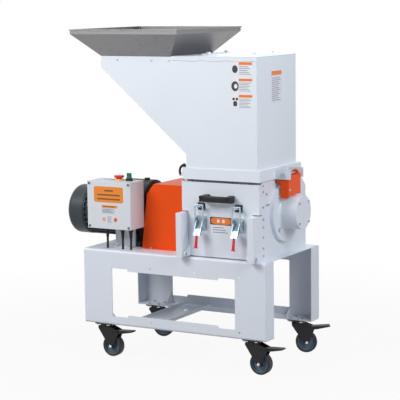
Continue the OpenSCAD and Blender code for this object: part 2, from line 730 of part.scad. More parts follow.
module bearings() {
    color("silver") {
        on_right() bearing();
        on_left() bearing();
    }
}
module bearing_cap(open) {
    // Cover with a spigot in the housing; the drive end is open for the shaft
    difference() {
        union() {
            rod_x(housing_d / 2, cap_t);
            translate([-cap_t, 0, 0]) rod_x(bearing_d / 2, cap_t);
        }
        if (open) translate([-cap_t - cut, 0, 0]) rod_x(shaft_d / 2 + 4 * clear, 2 * cap_t + 2 * cut);
        for (a = [45:90:315]) rotate([a, 0, 0]) translate([-cut, 0, cap_screw_gap / 2])
            rod_x(cap_screw_d / 2 + bolt_clear, cap_t + 2 * cut);
    }
}
module bearing_caps() {
    color("white") {
        on_right() translate([housing_reach, 0, 0]) bearing_cap(false);
        on_left() translate([left_housing_reach, 0, 0]) bearing_cap(true);
    }
}
module bearing_bolt_group(reach, flange_d) {
    for (a = [45:90:315]) rotate([a, 0, 0]) {
        translate([housing_flange_t, 0, bolt_circle(flange_d) / 2]) rotate([0, 90, 0])
            hex_bolt(housing_bolt_d, housing_flange_t + plate_t * 0.8);
        translate([reach + cap_t, 0, cap_screw_gap / 2]) rotate([0, 90, 0])
            socket_screw(cap_screw_d, cap_t + cap_screw_d);
    }
}
module chamber_bolts() {
    // Hexagon bolts in the flanges, socket screws in the caps and down the right side plate
    color("silver") {
        on_right() bearing_bolt_group(housing_reach, housing_flange_d);
        on_left() bearing_bolt_group(left_housing_reach, left_flange_d);
        side_screw_group();
    }
}

// Front door
door_w = inside_w - 2 * door_gap / 4;
hem = 14;
keeper_z = deck_z + keeper_rise;
latch_xs = [for (s = [-1, 1]) chamber_x + chamber_w / 2 + s * latch_gap / 2];
keeper_slot_w = 34;
keeper_t = 10;
keeper_w = 18;
module door_face() {
    // Wide above the wings and narrower between them, drawn in XZ from the chamber's middle
    h = top_z - 2 * door_gap - deck_z - door_gap;
    translate([-door_w / 2, deck_z + door_gap]) square([door_w, h]);
    translate([-chamber_w / 2, wing_z + door_gap]) square([chamber_w, h - wing_h]);
}
module front_door() {
    // Folded sheet with hemmed edges, hinge ears at its foot and slots for the keepers
    mid = chamber_x + chamber_w / 2;
    color("white") difference() {
        union() {
            translate([mid, face_y, 0]) along_y(door_t) door_face();
            for (s = [-1, 1]) {
                translate([mid + s * (door_w / 2 - door_t / 2) - door_t / 2, face_y, deck_z + door_gap])
                    cube([door_t, door_depth - 1, chamber_h - 3 * door_gap]);
                translate([mid + s * (chamber_w / 2 - door_t / 2) - door_t / 2, face_y, wing_z + door_gap])
                    cube([door_t, door_depth - 1, chamber_h - wing_h - 3 * door_gap]);
                translate([mid + s * (door_w / 2 - ear_t / 2) - ear_t / 2, 0, 0]) along_x(ear_t) hull() {
                    translate([pivot_y, pivot_z]) circle(pivot_z - deck_z - door_gap, $fn = 32);
                    translate([face_y, deck_z + door_gap]) square([door_t, 3 * pivot_rise]);
                }
            }
            translate([mid - chamber_w / 2, face_y, top_z - 3 * door_gap + door_gap - door_t])
                cube([chamber_w, hem, door_t]);
            translate([mid - door_w / 2, face_y, deck_z + door_gap]) cube([door_w, hem, door_t]);
        }
        translate([chamber_x, pivot_y, pivot_z]) rod_x(pivot_d / 2 + fit, chamber_w);
        for (x = latch_xs) translate([x - keeper_slot_w / 2, face_y - cut, keeper_z - 2 * keeper_t])
            cube([keeper_slot_w, door_t + 2 * cut, 3 * keeper_t]);
    }
}
ear_t = 8;
module hinge_pins() {
    // Headed pins through the wings and the door's ears, and stub pins for the screen's cradle
    color("silver") for (s = [0, 1]) translate([chamber_x + chamber_w / 2, 0, 0]) mirror([s, 0, 0]) {
        translate([inside_w / 2 - door_gap / 4 - ear_t, pivot_y, pivot_z]) {
            rod_x(pivot_d / 2, ear_t + plate_t + door_gap / 4);
            translate([ear_t + plate_t + door_gap / 4, 0, 0]) rod_x(pivot_d * 0.75, pivot_d / 3);
        }
        translate([inside_w / 2 - cradle_rib_t - 2 * clear, cradle_pin_y, cradle_pin_z])
            rod_x(cradle_pin_d / 2, cradle_rib_t + 2 * clear);
    }
}
module door_handle() {
    // Bridge handle of moulded plastic: a rounded grip on two raked feet
    z = (keeper_z + top_z) / 2 - grip_w * 0.75;
    color("black") translate([chamber_x + chamber_w / 2, face_y, z]) difference() {
        union() {
            translate([-handle_l / 2, -handle_out, 0]) rotate([0, 90, 0]) linear_extrude(handle_l)
                round_rect(grip_w, grip_w * 0.6, grip_w * 0.25);
            for (s = [-1, 1]) translate([s * (handle_l / 2 - grip_w / 2), 0, 0]) hull() {
                translate([0, -handle_out, 0]) cube([grip_w, grip_w * 0.6, grip_w * 0.9], center = true);
                translate([-s * grip_w * 0.1, -cut / 2, 0]) cube([grip_w * 0.8, cut, grip_w * 1.1], center = true);
            }
        }
        for (s = [-1, 1]) translate([s * (handle_l / 2 - grip_w / 2), -handle_out - grip_w, 0])
            rod_y(caster_bolt_d * 0.7, grip_w * 0.8);
    }
}

// Latches
lever_out = 14;
loop_out = 23;
cheek_t = 2;
rivet_d = 6;
latch_drop = 98;
latch_z = keeper_z - latch_drop;
lever_z = latch_z + latch_h * 0.62;
loop_z = lever_z - 16;
bar_z = keeper_z + loop_d / 2 + clear;
lever_w = loop_w - loop_d - 2 * clear;
module latch_bases() {
    // Folded channels with two ears for the lever's rivets
    color("lightsteelblue") for (x = latch_xs) translate([x, face_y, latch_z]) difference() {
        union() {
            translate([-latch_w / 2, -cheek_t, 0]) along_y(cheek_t) translate([latch_w / 2, latch_h / 2])
                round_rect(latch_w, latch_h, rivet_d / 2);
            for (s = [-1, 1]) translate([s * (latch_w / 2 - cheek_t / 2) - cheek_t / 2, 0, 0])
                along_x(cheek_t) polygon([[0, latch_h * 0.1], [-lever_out, latch_h * 0.3],
                    [-lever_out - rivet_d, latch_h * 0.5], [-lever_out - rivet_d, latch_h * 0.74],
                    [0, latch_h * 0.95]]);
            for (z = [0.12, 0.88]) translate([0, -cheek_t, latch_h * z]) rotate([90, 0, 0])
                cylinder(d = rivet_d * 1.4, h = cheek_t);
        }
        translate([-latch_w, -lever_out, lever_z - latch_z]) rod_x(rivet_d / 2 + fit, 2 * latch_w);
    }
}
grip_l = 46;
lever_l = 84;
lever_lean = 38;
module lever_side() {
    // Side of the lever in YZ: the rivet, the loop's eye, and the arm that leans out to the grip
    polygon([[-lever_out + rivet_d * 0.8, lever_z + rivet_d * 0.6], [-lever_out - rivet_d * 0.8, lever_z + rivet_d],
        [-loop_out - rivet_d, loop_z + rivet_d * 0.4], [-lever_lean - rivet_d, lever_z - lever_l * 0.6],
        [-lever_lean + rivet_d * 0.4, lever_z - lever_l * 0.6], [-loop_out + rivet_d, loop_z - rivet_d],
        [-lever_out + rivet_d, lever_z - rivet_d]]);
}
module latch_lever(i) {
    // Folded lever on two stub rivets, with a round grip and a flared end
    w = lever_w;
    color("lightsteelblue") translate([latch_xs[i], face_y, 0]) difference() {
        union() {
            for (s = [-1, 1]) translate([s * (w / 2 - cheek_t / 2) - cheek_t / 2, 0, 0])
                along_x(cheek_t) lever_side();
            translate([-w / 2, 0, 0]) along_x(w) polygon([
                [-loop_out - rivet_d, loop_z - rivet_d * 1.6], [-loop_out - rivet_d + cheek_t, loop_z - rivet_d * 1.6],
                [-lever_lean - rivet_d + cheek_t, lever_z - lever_l * 0.6],
                [-lever_lean - rivet_d, lever_z - lever_l * 0.6]]);
            for (x = [w / 2 - cheek_t, -latch_w / 2]) translate([x, -lever_out, lever_z])
                rod_x(rivet_d / 2, (latch_w - w) / 2 + cheek_t);
        }
        translate([-w, -loop_out, loop_z]) rod_x(loop_d / 2 + fit, 2 * w);
    }
    color("crimson") translate([latch_xs[i], face_y - lever_lean - rivet_d / 2, lever_z - lever_l * 0.6]) {
        rotate([180 - grip_tilt, 0, 0]) translate([0, 0, -rivet_d / 2]) {
            cylinder(d1 = rivet_d * 1.5, d2 = rivet_d * 2, h = grip_l);
            translate([0, 0, grip_l]) cylinder(d1 = rivet_d * 2, d2 = rivet_d * 3, h = rivet_d * 0.8);
        }
    }
}
grip_tilt = 10;
module latch_loop(i) {
    // Round rod bent into a loop: two legs, a top bar, and two feet in the lever's eyes
    r = loop_d / 2;
    leg = loop_w / 2;
    foot_l = (loop_w - lever_w) / 2 + cheek_t;
    color("silver") translate([latch_xs[i], face_y - loop_out, 0]) {
        for (s = [-1, 1]) {
            translate([s * leg, 0, loop_z]) cylinder(r = r, h = bar_z - loop_z);
            translate([s * leg, 0, loop_z]) sphere(r);
            translate([s * leg, 0, bar_z]) sphere(r);
            translate([s > 0 ? leg - foot_l : -leg, 0, loop_z]) rod_x(r, foot_l);
        }
        translate([-leg, 0, bar_z]) rod_x(r, loop_w);
    }
}
module catches() {
    // Ledges on the front wall, one through each slot of the door, and the clevis of the hopper's lock
    color("silver") {
        for (x = latch_xs) translate([x - keeper_w / 2, 0, 0]) along_x(keeper_w) polygon([
            [face_y - loop_out - loop_d, keeper_z - keeper_t * 0.5], [face_y - loop_out - loop_d, keeper_z],
            [front_wall_y, keeper_z], [front_wall_y, keeper_z - keeper_t], [face_y - cut, keeper_z - keeper_t]]);
        translate([0, lock_y, 0]) difference() {
            for (y = [-clevis_gap / 2 - clevis_t, clevis_gap / 2]) translate([0, y, 0]) along_y(clevis_t) {
                translate([lock_x, lock_z]) circle(lock_rod_d);
                translate([lock_x, lock_z - lock_rod_d]) square([chamber_x - lock_x, 2 * lock_rod_d]);
            }
            translate([lock_x, -clevis_gap, lock_z]) rod_y(lock_rod_d / 2 + fit, 2 * clevis_gap);
        }
        translate([lock_x, lock_y - clevis_gap / 2 - clevis_t, lock_z]) {
            rod_y(lock_rod_d / 2, clevis_gap + 2 * clevis_t);
            translate([0, -clevis_t / 2, 0]) rod_y(lock_rod_d * 0.75, clevis_t / 2);
        }
    }
}

// Hopper
module hopper_side(inset) {
    // Outline of the hopper seen from the front, shrunk by the sheet's thickness
    slope_z = skirt_z + throat_h;
    polygon([[hopper_x0 + inset, hopper_z + (inset > 0 ? cut : 0)], [hopper_x0 + inset, hopper_z - brow_h],
        [throat_x0 + inset, slope_z], [throat_x0 + inset, seal_z - (inset > 0 ? cut : 0)],
        [throat_x1 - inset, seal_z - (inset > 0 ? cut : 0)],
        [throat_x1 - inset, hopper_z + (inset > 0 ? cut : 0)]]);
}
ear_sheet = 4;
ear_shift = 20;
ear_front_y = rotor_y - ear_shift - hinge_w / 2;
lock_y = face_y + 0.14 * hopper_d;
lock_out = 18;
lock_x = skirt_x0 - lock_out;
lock_slot_w = 12;
lug_w = 34;
lug_lip = 8;
lug_t = 6;
module hopper() {
    // Welded sheet: sloped body, throat, boxed skirt, hinge ears and the lock's forked lug
    color("white") difference() {
        union() {
            translate([0, hopper_y0, 0]) along_y(hopper_d) hopper_side(0);
            translate([skirt_x0, skirt_y0, seal_z]) linear_extrude(skirt_h)
                translate([(skirt_x1 - skirt_x0) / 2, (skirt_y1 - skirt_y0) / 2])
                    round_rect(skirt_x1 - skirt_x0, skirt_y1 - skirt_y0, bend_r / 2);
            for (y = [ear_front_y, ear_front_y + hinge_w - ear_sheet]) translate([0, y, 0])
                along_y(ear_sheet) difference() {
                    translate([skirt_x1 - cut, seal_z]) square([hinge_x - skirt_x1 + cut + ear_reach, skirt_h * 0.84]);
                    translate([hinge_x, hinge_z]) circle(hinge_rod_d / 2 + fit);
                }
            translate([lock_x - lug_lip, lock_y - lug_w / 2, seal_z + lug_t]) difference() {
                cube([skirt_x0 - lock_x + lug_lip + cut, lug_w, lug_t]);
                translate([-cut, (lug_w - lock_slot_w) / 2, -cut])
                    cube([lug_lip + lock_slot_w / 2 + cut, lock_slot_w, lug_t + 2 * cut]);
            }
        }
        translate([0, hopper_y0 + hopper_t, 0]) along_y(hopper_d - 2 * hopper_t) hopper_side(hopper_t);
        // Hollow of the skirt between its band and its top, open below
        translate([skirt_x0 + hopper_t, skirt_y0 + hopper_t, seal_z - cut]) difference() {
            cube([skirt_x1 - skirt_x0 - 2 * hopper_t, skirt_y1 - skirt_y0 - 2 * hopper_t,
                skirt_h - hopper_t + cut]);
            translate([throat_x0 - skirt_x0 - hopper_t, hopper_y0 - skirt_y0 - hopper_t, -cut])
                cube([throat_w, hopper_d, skirt_h]);
        }
        for (x = top_screw_xs) translate([x, hopper_y0 - cut, hopper_z - top_screw_drop])
            rod_y(top_screw_d / 2 + bolt_clear / 2, hopper_t + 2 * cut);
    }
}
ear_reach = 31;
top_screw_d = 5;
top_screw_drop = 14;
top_screw_l = 9;
top_screw_xs = [for (s = [0.24, 0.73, 0.985]) hopper_x0 + s * mouth_w];
module hopper_screws() {
    // Screws that hold the tray's mouth, and the bolts of the blanking plate
    color("silver") {
        for (x = top_screw_xs) translate([x, hopper_y0, hopper_z - top_screw_drop]) rotate([90, 0, 0]) {
            cylinder(d = socket_w_share * top_screw_d, h = top_screw_d * 0.6);
            translate([0, 0, -top_screw_l]) cylinder(d = top_screw_d, h = top_screw_l);
        }
        for (p = lid_bolt_places) translate([p.x, p.y, hopper_z + lid_t + lid_plate_t])
            hex_bolt(lid_bolt_d, lid_t + lid_plate_t);
    }
}
lid_t = 3;
lid_lap = 4;
lid_plate_t = 6;
lid_bolt_d = 10;
lid_plate_w = 240;
lid_plate_d = 190;
lid_x1 = throat_x1;
lid_mid_x = mouth_x1 + 0.58 * (lid_x1 - mouth_x1);
lid_mid_y = hopper_y0 + hopper_d / 2;
lid_bolt_inset = 22;
lid_bolt_places = [for (x = [-1, 1], y = [-1, 1])
    [lid_mid_x + x * (lid_plate_w / 2 - lid_bolt_inset), lid_mid_y + y * (lid_plate_d / 2 - lid_bolt_inset)]];
lid_hole_r = lid_plate_d * 0.37;
module hopper_lid() {
    // Top cover behind the tray, with a folded lip inside the hopper and an opening under the plate
    color("white") difference() {
        union() {
            translate([mouth_x1 + lid_lap, hopper_y0, hopper_z]) cube([lid_x1 - mouth_x1 - lid_lap, hopper_d, lid_t]);
            translate([mouth_x1 + lid_lap, hopper_y0 + hopper_t + clear, hopper_z - hem]) difference() {
                cube([lid_x1 - mouth_x1 - hopper_t - clear - lid_lap, hopper_d - 2 * hopper_t - 2 * clear, hem]);
                translate([hopper_t, hopper_t, -cut]) cube([lid_x1 - mouth_x1 - 3 * hopper_t - clear - lid_lap,
                    hopper_d - 4 * hopper_t - 2 * clear, hem + cut]);
            }
        }
        translate([lid_mid_x, lid_mid_y, hopper_z - cut]) cylinder(r = lid_hole_r, h = lid_t + 2 * cut);
        for (p = lid_bolt_places) translate([p.x, p.y, hopper_z - cut])
            cylinder(d = lid_bolt_d + 2 * bolt_clear, h = lid_t + 2 * cut);
    }
}
module lid_plate() {
    // Blanking plate over the opening for a loader
    color("silver") translate([lid_mid_x, lid_mid_y, hopper_z + lid_t]) linear_extrude(lid_plate_t) difference() {
        round_rect(lid_plate_w, lid_plate_d, bend_r);
        for (x = [-1, 1], y = [-1, 1]) translate([x * (lid_plate_w / 2 - lid_bolt_inset),
            y * (lid_plate_d / 2 - lid_bolt_inset)]) circle(d = lid_bolt_d + 2 * bolt_clear);
    }
}
module tray_block(inset, over) {
    // Frustum from the mouth to the rim, shrunk by the sheet's thickness
    hull() {
        translate([hopper_x0 + inset, hopper_y0 + inset, hopper_z + clear - over])
            cube([mouth_w - 2 * inset, hopper_d - 2 * inset, tray_t + over]);
        translate([hopper_x0 - tray_spread_x + inset, hopper_y0 - tray_spread_y + inset, tray_z - tray_rim])
            cube([mouth_w + 2 * tray_spread_x - 2 * inset, hopper_d + 2 * tray_spread_y - 2 * inset,
                tray_t + over]);
    }
}
module tray_band(out, z, h, wall) {
    // Upright frame round the rim, set out from it
    translate([hopper_x0 - tray_spread_x - out, hopper_y0 - tray_spread_y - out, z]) difference() {
        cube([mouth_w + 2 * tray_spread_x + 2 * out, hopper_d + 2 * tray_spread_y + 2 * out, h]);
        translate([wall, wall, -cut]) cube([mouth_w + 2 * (tray_spread_x + out - wall),
            hopper_d + 2 * (tray_spread_y + out - wall), h + 2 * cut]);
    }
}
module hopper_tray() {
    // Stainless feed tray: four raked walls, an upright rim with a hem, and a collar inside the hopper
    in = hopper_t + clear;
    collar_w = mouth_w - in;
    collar_d = hopper_d - 2 * in;
    collar_h = 2 * top_screw_drop;
    color("silver") {
        difference() {
            tray_block(0, 0);
            tray_block(tray_t, cut);
        }
        tray_band(0, tray_z - tray_rim, tray_rim, tray_t);
        tray_band(2 * tray_t, tray_z - 3 * tray_t, 3 * tray_t, 2 * tray_t);
        difference() {
            union() {
                translate([hopper_x0 + in, hopper_y0 + in, hopper_z - collar_h])
                    cube([collar_w, collar_d, collar_h + clear + tray_t]);
                translate([hopper_x0 + tray_t / 2, hopper_y0 + tray_t / 2, hopper_z + clear])
                    cube([mouth_w - tray_t, hopper_d - tray_t, tray_t]);
            }
            translate([hopper_x0 + in + tray_t, hopper_y0 + in + tray_t, hopper_z - collar_h - cut])
                cube([collar_w - 2 * tray_t, collar_d - 2 * tray_t, collar_h + 2 * cut + 2 * tray_t]);
            for (x = top_screw_xs) translate([x, hopper_y0, hopper_z - top_screw_drop])
                rod_y(top_screw_d / 2 + fit, in + 2 * tray_t);
        }
    }
}

// Hopper hinge and lock
bracket_t = 4;
bracket_front_y = ear_front_y + ear_sheet + 1;
bracket_w = hinge_w - 2 * ear_sheet - 2;
bracket_x0 = hinge_x - 13;
bracket_x1 = hinge_x + 21;
web_drop = 78;
arm_h = 43;
arm_seat_h = flange_margin - clear;
module bracket_leg(drop) {
    // Leg in XZ, round at its foot and round the rod
    w = bracket_x1 - bracket_x0;
    translate([bracket_x0, hinge_z - drop + w / 4]) square([w, drop - w / 4 - cut]);
    translate([bracket_x0 + w / 4, hinge_z - drop]) square([w / 2, w]);
    for (x = [bracket_x0 + w / 4, bracket_x1 - w / 4]) translate([x, hinge_z - drop + w / 4]) circle(w / 4);
    translate([hinge_x, hinge_z]) circle(1.4 * hinge_rod_d);
}
module hinge_bracket() {
    // Bent plate with a long front leg, a web and a rear leg, on a dark block bolted to the chamber
    color("orangered") difference() {
        union() {
            translate([0, bracket_front_y, 0]) along_y(bracket_t) bracket_leg(bracket_drop);
            translate([0, bracket_front_y + bracket_w - bracket_t, 0]) along_y(bracket_t)
                bracket_leg(web_drop);
            translate([bracket_x1 - bracket_t, bracket_front_y, hinge_z - web_drop])
                cube([bracket_t, bracket_w, web_drop - cut]);
        }
        translate([hinge_x, bracket_front_y - cut, hinge_z]) rod_y(hinge_rod_d / 2 + fit, bracket_w + 2 * cut);
        translate([bracket_x1 - bracket_t - cut, web_bolt_y, web_bolt_z])
            rod_x(web_bolt_d / 2 + bolt_clear, bracket_t + 2 * cut);
    }
    color("dimgray") difference() {
        union() {
            translate([chamber_x1, bracket_front_y + bracket_t + fit, top_z - arm_seat_h])
                cube([cap_t, bracket_w - 2 * bracket_t - 2 * fit, arm_seat_h - clear]);
            for (y = [bracket_front_y + bracket_t + fit, bracket_front_y + bracket_w - bracket_t - cap_t - fit])
                translate([0, y, 0]) along_y(cap_t) polygon([[chamber_x1 + cut, top_z - clear],
                    [bracket_x1 - bracket_t - fit, top_z - clear], [bracket_x1 - bracket_t - fit, top_z - arm_h],
                    [bracket_x0, top_z - arm_h], [chamber_x1 + housing_flange_t + cut, top_z - arm_seat_h],
                    [chamber_x1 + cut, top_z - arm_seat_h]]);
        }
        translate([bracket_x0, web_bolt_y, web_bolt_z]) rod_x(web_bolt_d / 2 + bolt_clear, bracket_x1 - bracket_x0);
    }
    color("silver") translate([bracket_x1 + fit, web_bolt_y, web_bolt_z]) rotate([0, 90, 0])
        hex_bolt(web_bolt_d, 2 * web_bolt_d);
}
web_bolt_d = 5;
web_bolt_y = bracket_front_y + bracket_t + cap_t / 2;
web_bolt_z = top_z - arm_h + web_bolt_d;
module hinge_rod() {
    // Rod through the ears and the bracket, with a nut at each end
    l = hinge_w + 2 * rod_over;
    color("silver") translate([hinge_x, ear_front_y - rod_over, hinge_z]) {
        rod_y(hinge_rod_d / 2, l);
        for (y = [0, l - rod_over + clear]) translate([0, y, 0]) rotate([-90, 0, 0])
            cylinder(d = head_w_share * hinge_rod_d, h = rod_over - clear, $fn = 6);
    }
}
rod_over = 7;
lock_rod_d = 9;
lock_z = seal_z - 26;
clevis_t = 6;
clevis_gap = 11;
lock_head_z = seal_z + 2 * lug_t;
module hopper_lock() {
    // Swing bolt with an eye at its foot, and a curved cam lever over its head
    lever_r = 2.9 * lock_rod_d;
    lever_d = lock_rod_d;
    color("black") translate([lock_x, lock_y, 0]) {
        difference() {
            union() {
                translate([0, -clevis_gap / 2 + clear, lock_z]) rod_y(lock_rod_d, clevis_gap - 2 * clear);
                translate([0, 0, lock_z]) cylinder(d = lock_rod_d, h = lock_head_z + 2 * clevis_t - lock_z);
            }
            translate([0, -clevis_gap, lock_z]) rod_y(lock_rod_d / 2 + fit, 2 * clevis_gap);
        }
        translate([0, 0, lock_head_z + lock_gap]) {
            rotate_extrude() polygon([[0, 0], [lock_rod_d, 0], [lock_rod_d, clevis_t], [0.6 * lock_rod_d, 6 * clevis_t],
                [0, 6 * clevis_t]]);
            translate([lever_r * 0.17, 0, 1.05 * lock_rod_d]) rotate([90, 0, 0]) {
                rotate([0, 0, 100]) rotate_extrude(angle = lever_sweep) translate([lever_r, 0]) circle(lever_d / 2);
                rotate([0, 0, 100]) translate([lever_r, 0, 0]) sphere(lever_d * 0.56);
                rotate([0, 0, 100 + lever_sweep]) translate([lever_r, 0, 0]) sphere(lever_d * 0.6);
            }
        }
    }
}
lock_gap = 1;
lever_sweep = 112;

// Drive
motor_z = rotor_z - motor_drop;
gear_x1 = chamber_x - guard_l - 9;
gear_x0 = gear_x1 - gear_l;
motor_x0 = gear_x0 - motor_l;
body_x0 = motor_x0 + cowl_l;
motor_body_r = motor_d / 2 - 11;
rib_h = 10;
rib_t = 3;
motor_shaft_d = 28;
shield_t = 12;
cowl_t = 2;
module at_motor(x) translate([x, rotor_y, motor_z]) children();
module motor() {
    // Ribbed body between two end shields, with a terminal box behind and a bore for the fan's shaft
    color("darkslategray") difference() {
        union() {
            at_motor(body_x0) rod_x(motor_body_r, gear_x0 - body_x0);
            at_motor(body_x0) rod_x(motor_d / 2 - cowl_t - clear, shield_t);
            at_motor(gear_x0 - shield_t) rod_x(motor_d / 2, shield_t);
            at_motor(body_x0 + shield_t) for (i = [0:rib_count - 1]) rotate([i * 360 / rib_count, 0, 0])
                translate([0, -rib_t / 2, motor_body_r - rib_t])
                    cube([gear_x0 - body_x0 - 2 * shield_t, rib_t, rib_h + rib_t]);
            translate([term_x - term_w / 2, rotor_y, motor_z - term_w / 2])
                cube([term_w, motor_d / 2 + term_h, term_w]);
            translate([term_x - term_w / 2 - rib_t, rotor_y + motor_d / 2 + term_h, motor_z - term_w / 2 - rib_t])
                cube([term_w + 2 * rib_t, rib_t, term_w + 2 * rib_t]);
        }
        at_motor(body_x0 - cut) rod_x(motor_shaft_d / 2 + fit, 2 * shield_t + cut);
        for (x = motor_cable_xs) translate([x, motor_cable_y, motor_z - term_w / 2 - cut])
            cylinder(d = cable_d + 2 * clear, h = gland_h);
    }
}
term_w = 84;
term_x = gear_x0 - term_w / 2 - 2 * rib_t;
term_h = 46;
gland_h = 16;
gland_d = 22;
motor_cable_xs = [for (s = [-1, 1]) term_x + s * term_w / 5];
motor_cable_y = rotor_y + motor_d / 2 + term_h / 2;
vent_count = 24;
module motor_cowl() {
    // Fan cowl: a cup with a rounded edge, radial slots in its end and a hub disc
    edge = 22;
    color("darkslategray") difference() {
        at_motor(motor_x0) rotate([0, 90, 0]) rotate_extrude() difference() {
            union() {
                translate([0, edge]) square([motor_d / 2, cowl_l + shield_t / 2 - edge]);
                square([motor_d / 2 - edge, cowl_l]);
                translate([motor_d / 2 - edge, edge]) intersection() {
                    circle(edge);
                    translate([0, -edge]) square([edge, edge]);
                }
            }
            translate([-cut, edge]) square([motor_d / 2 - cowl_t + cut, cowl_l + shield_t]);
            translate([-cut, cowl_t]) square([motor_d / 2 - edge + cut, edge]);
            translate([motor_d / 2 - edge, edge]) circle(edge - cowl_t);
        }
        for (i = [0:vent_count - 1]) at_motor(motor_x0 - cut) rotate([i * 360 / vent_count, 0, 0])
            translate([0, -rib_t, motor_d * 0.13]) cube([cowl_t + 2 * cut, 2 * rib_t, motor_d * 0.24]);
    }
}
module motor_fan() {
    // Fan with flat blades on the motor's shaft
    color("black") {
        at_motor(motor_x0 + cowl_l * 0.35) rod_x(motor_d * 0.16, cowl_l * 0.5);
        at_motor(motor_x0 + cowl_l * 0.8) rod_x(motor_d * 0.4, cowl_l * 0.06);
        for (a = [0:45:315]) at_motor(motor_x0 + cowl_l * 0.35) rotate([a, 0, 0])
            translate([0, -rib_t / 2, motor_d * 0.15]) cube([cowl_l * 0.46, rib_t, motor_d * 0.25]);
    }
    color("silver") at_motor(motor_x0 + cowl_l * 0.85) rod_x(motor_shaft_d / 2, cowl_l * 0.15 + shield_t);
}
gear_r = 92;
gear_foot_t = 20;
gear_foot_w = 200;
out_shaft_d = 42;
module gear_unit() {
    // Cast gear case on feet, with an output cover, webs and a fill plug
    color("darkslategray") difference() {
        union() {
            translate([gear_x0, rotor_y, rotor_z]) rod_x(gear_r, gear_l);
            translate([gear_x0, rotor_y, motor_z]) rod_x(gear_r + rib_t, gear_l * 0.5);
            translate([gear_x0, rotor_y - gear_r * 0.86, deck_z + gear_foot_t / 2])
                cube([gear_l * 0.86, gear_r * 1.72, rotor_z - deck_z - gear_foot_t / 2]);
            translate([gear_x0, rotor_y - gear_foot_w / 2, deck_z]) cube([gear_l * 0.92, gear_foot_w, gear_foot_t]);
            translate([gear_x1 - cut, rotor_y, rotor_z]) rod_x(gear_r * 0.62, gear_foot_t / 2);
            for (a = [0:60:300]) translate([gear_x1 - cut, rotor_y, rotor_z]) rotate([a, 0, 0])
                translate([0, 0, gear_r * 0.82]) rod_x(rib_t * 2, rib_t + cut);
            for (x = [0.12, 0.72]) translate([gear_x0 + x * gear_l, rotor_y - gear_foot_w / 2 + rib_t, deck_z])
                cube([gear_l * 0.08, gear_foot_w - 2 * rib_t, gear_foot_t * 2.2]);
        }
        translate([gear_x1 - 2 * gear_foot_t, rotor_y, rotor_z]) rod_x(out_shaft_d / 2 + fit, 3 * gear_foot_t);
        for (p = gear_bolt_places) translate([p.x, p.y, deck_z - cut])
            cylinder(d = deck_bolt_d + 2 * bolt_clear, h = gear_foot_t + 2 * cut);
    }
    color("black") translate([gear_x0 + 0.72 * gear_l, rotor_y, rotor_z + gear_r - cut])
        cylinder(r = gear_r / 8, h = rib_t * 2 + cut);
}
deck_bolt_d = 10;
gear_bolt_places = [for (x = [0.32, 0.56], y = [-1, 1])
    [gear_x0 + x * gear_l, rotor_y + y * (gear_foot_w / 2 - deck_bolt_d)]];
guard_x0 = chamber_x - guard_l - 2;
guard_x1 = chamber_x - 4;
guard_y0 = rotor_y - guard_d / 2;
guard_t = 2;
guard_foot = 15;
module guard_outline(inset) {
    // Sloped end and chamfered top, seen from the front
    lean = guard_l * 0.11;
    polygon([[guard_x0 + inset, deck_z - (inset > 0 ? cut : 0)],
        [guard_x0 + lean + inset, deck_z + guard_h * 0.84],
        [guard_x0 + lean * 2.25 + inset * 0.7, deck_z + guard_h - inset],
        [guard_x1 + (inset > 0 ? cut : 0), deck_z + guard_h - inset],
        [guard_x1 + (inset > 0 ? cut : 0), deck_z - (inset > 0 ? cut : 0)]]);
}
guard_bolt_d = 5;
guard_bolt_places = [for (s = [0.2, 0.8], y = [0, 1])
    [guard_x0 + s * guard_l, guard_y0 + y * guard_d + (2 * y - 1) * guard_foot / 2]];
module coupling_guard() {
    // Sheet cover over the coupling, open below and towards the chamber, on two folded feet
    color("orangered") difference() {
        union() {
            difference() {
                translate([0, guard_y0, 0]) along_y(guard_d) guard_outline(0);
                translate([0, guard_y0 + guard_t, 0]) along_y(guard_d - 2 * guard_t) guard_outline(guard_t);
            }
            for (y = [guard_y0 - guard_foot, guard_y0 + guard_d - guard_t])
                translate([guard_x0 + guard_foot, y, deck_z])
                    cube([guard_l - 2 * guard_foot, guard_foot + guard_t, guard_t]);
        }
        translate([guard_x0 - cut, rotor_y, rotor_z]) rod_x(out_shaft_d * 0.75, guard_l * 0.3);
        for (p = guard_bolt_places) translate([p.x, p.y, deck_z - cut])
            cylinder(d = guard_bolt_d + 2 * bolt_clear, h = guard_t + 2 * cut);
    }
}
hub_l = 40;
jaw_l = 16;
coupling_x = (gear_x1 + chamber_x - left_housing_reach) / 2 - jaw_l;
module coupling_hub(bore) {
    // Hub on zero, pointing along X, with three jaws on its far face
    difference() {
        union() {
            rod_x(coupling_d / 2, hub_l);
            intersection() {
                translate([hub_l - cut, 0, 0]) rod_x(coupling_d / 2, jaw_l + cut);
                for (a = [0:120:240]) rotate([a, 0, 0]) translate([hub_l - cut, -coupling_d * 0.11, coupling_d * 0.2])
                    cube([jaw_l + cut, coupling_d * 0.22, coupling_d / 2]);
            }
        }
        translate([-cut, 0, 0]) rod_x(bore / 2 + fit, hub_l + jaw_l + 2 * cut);
    }
}
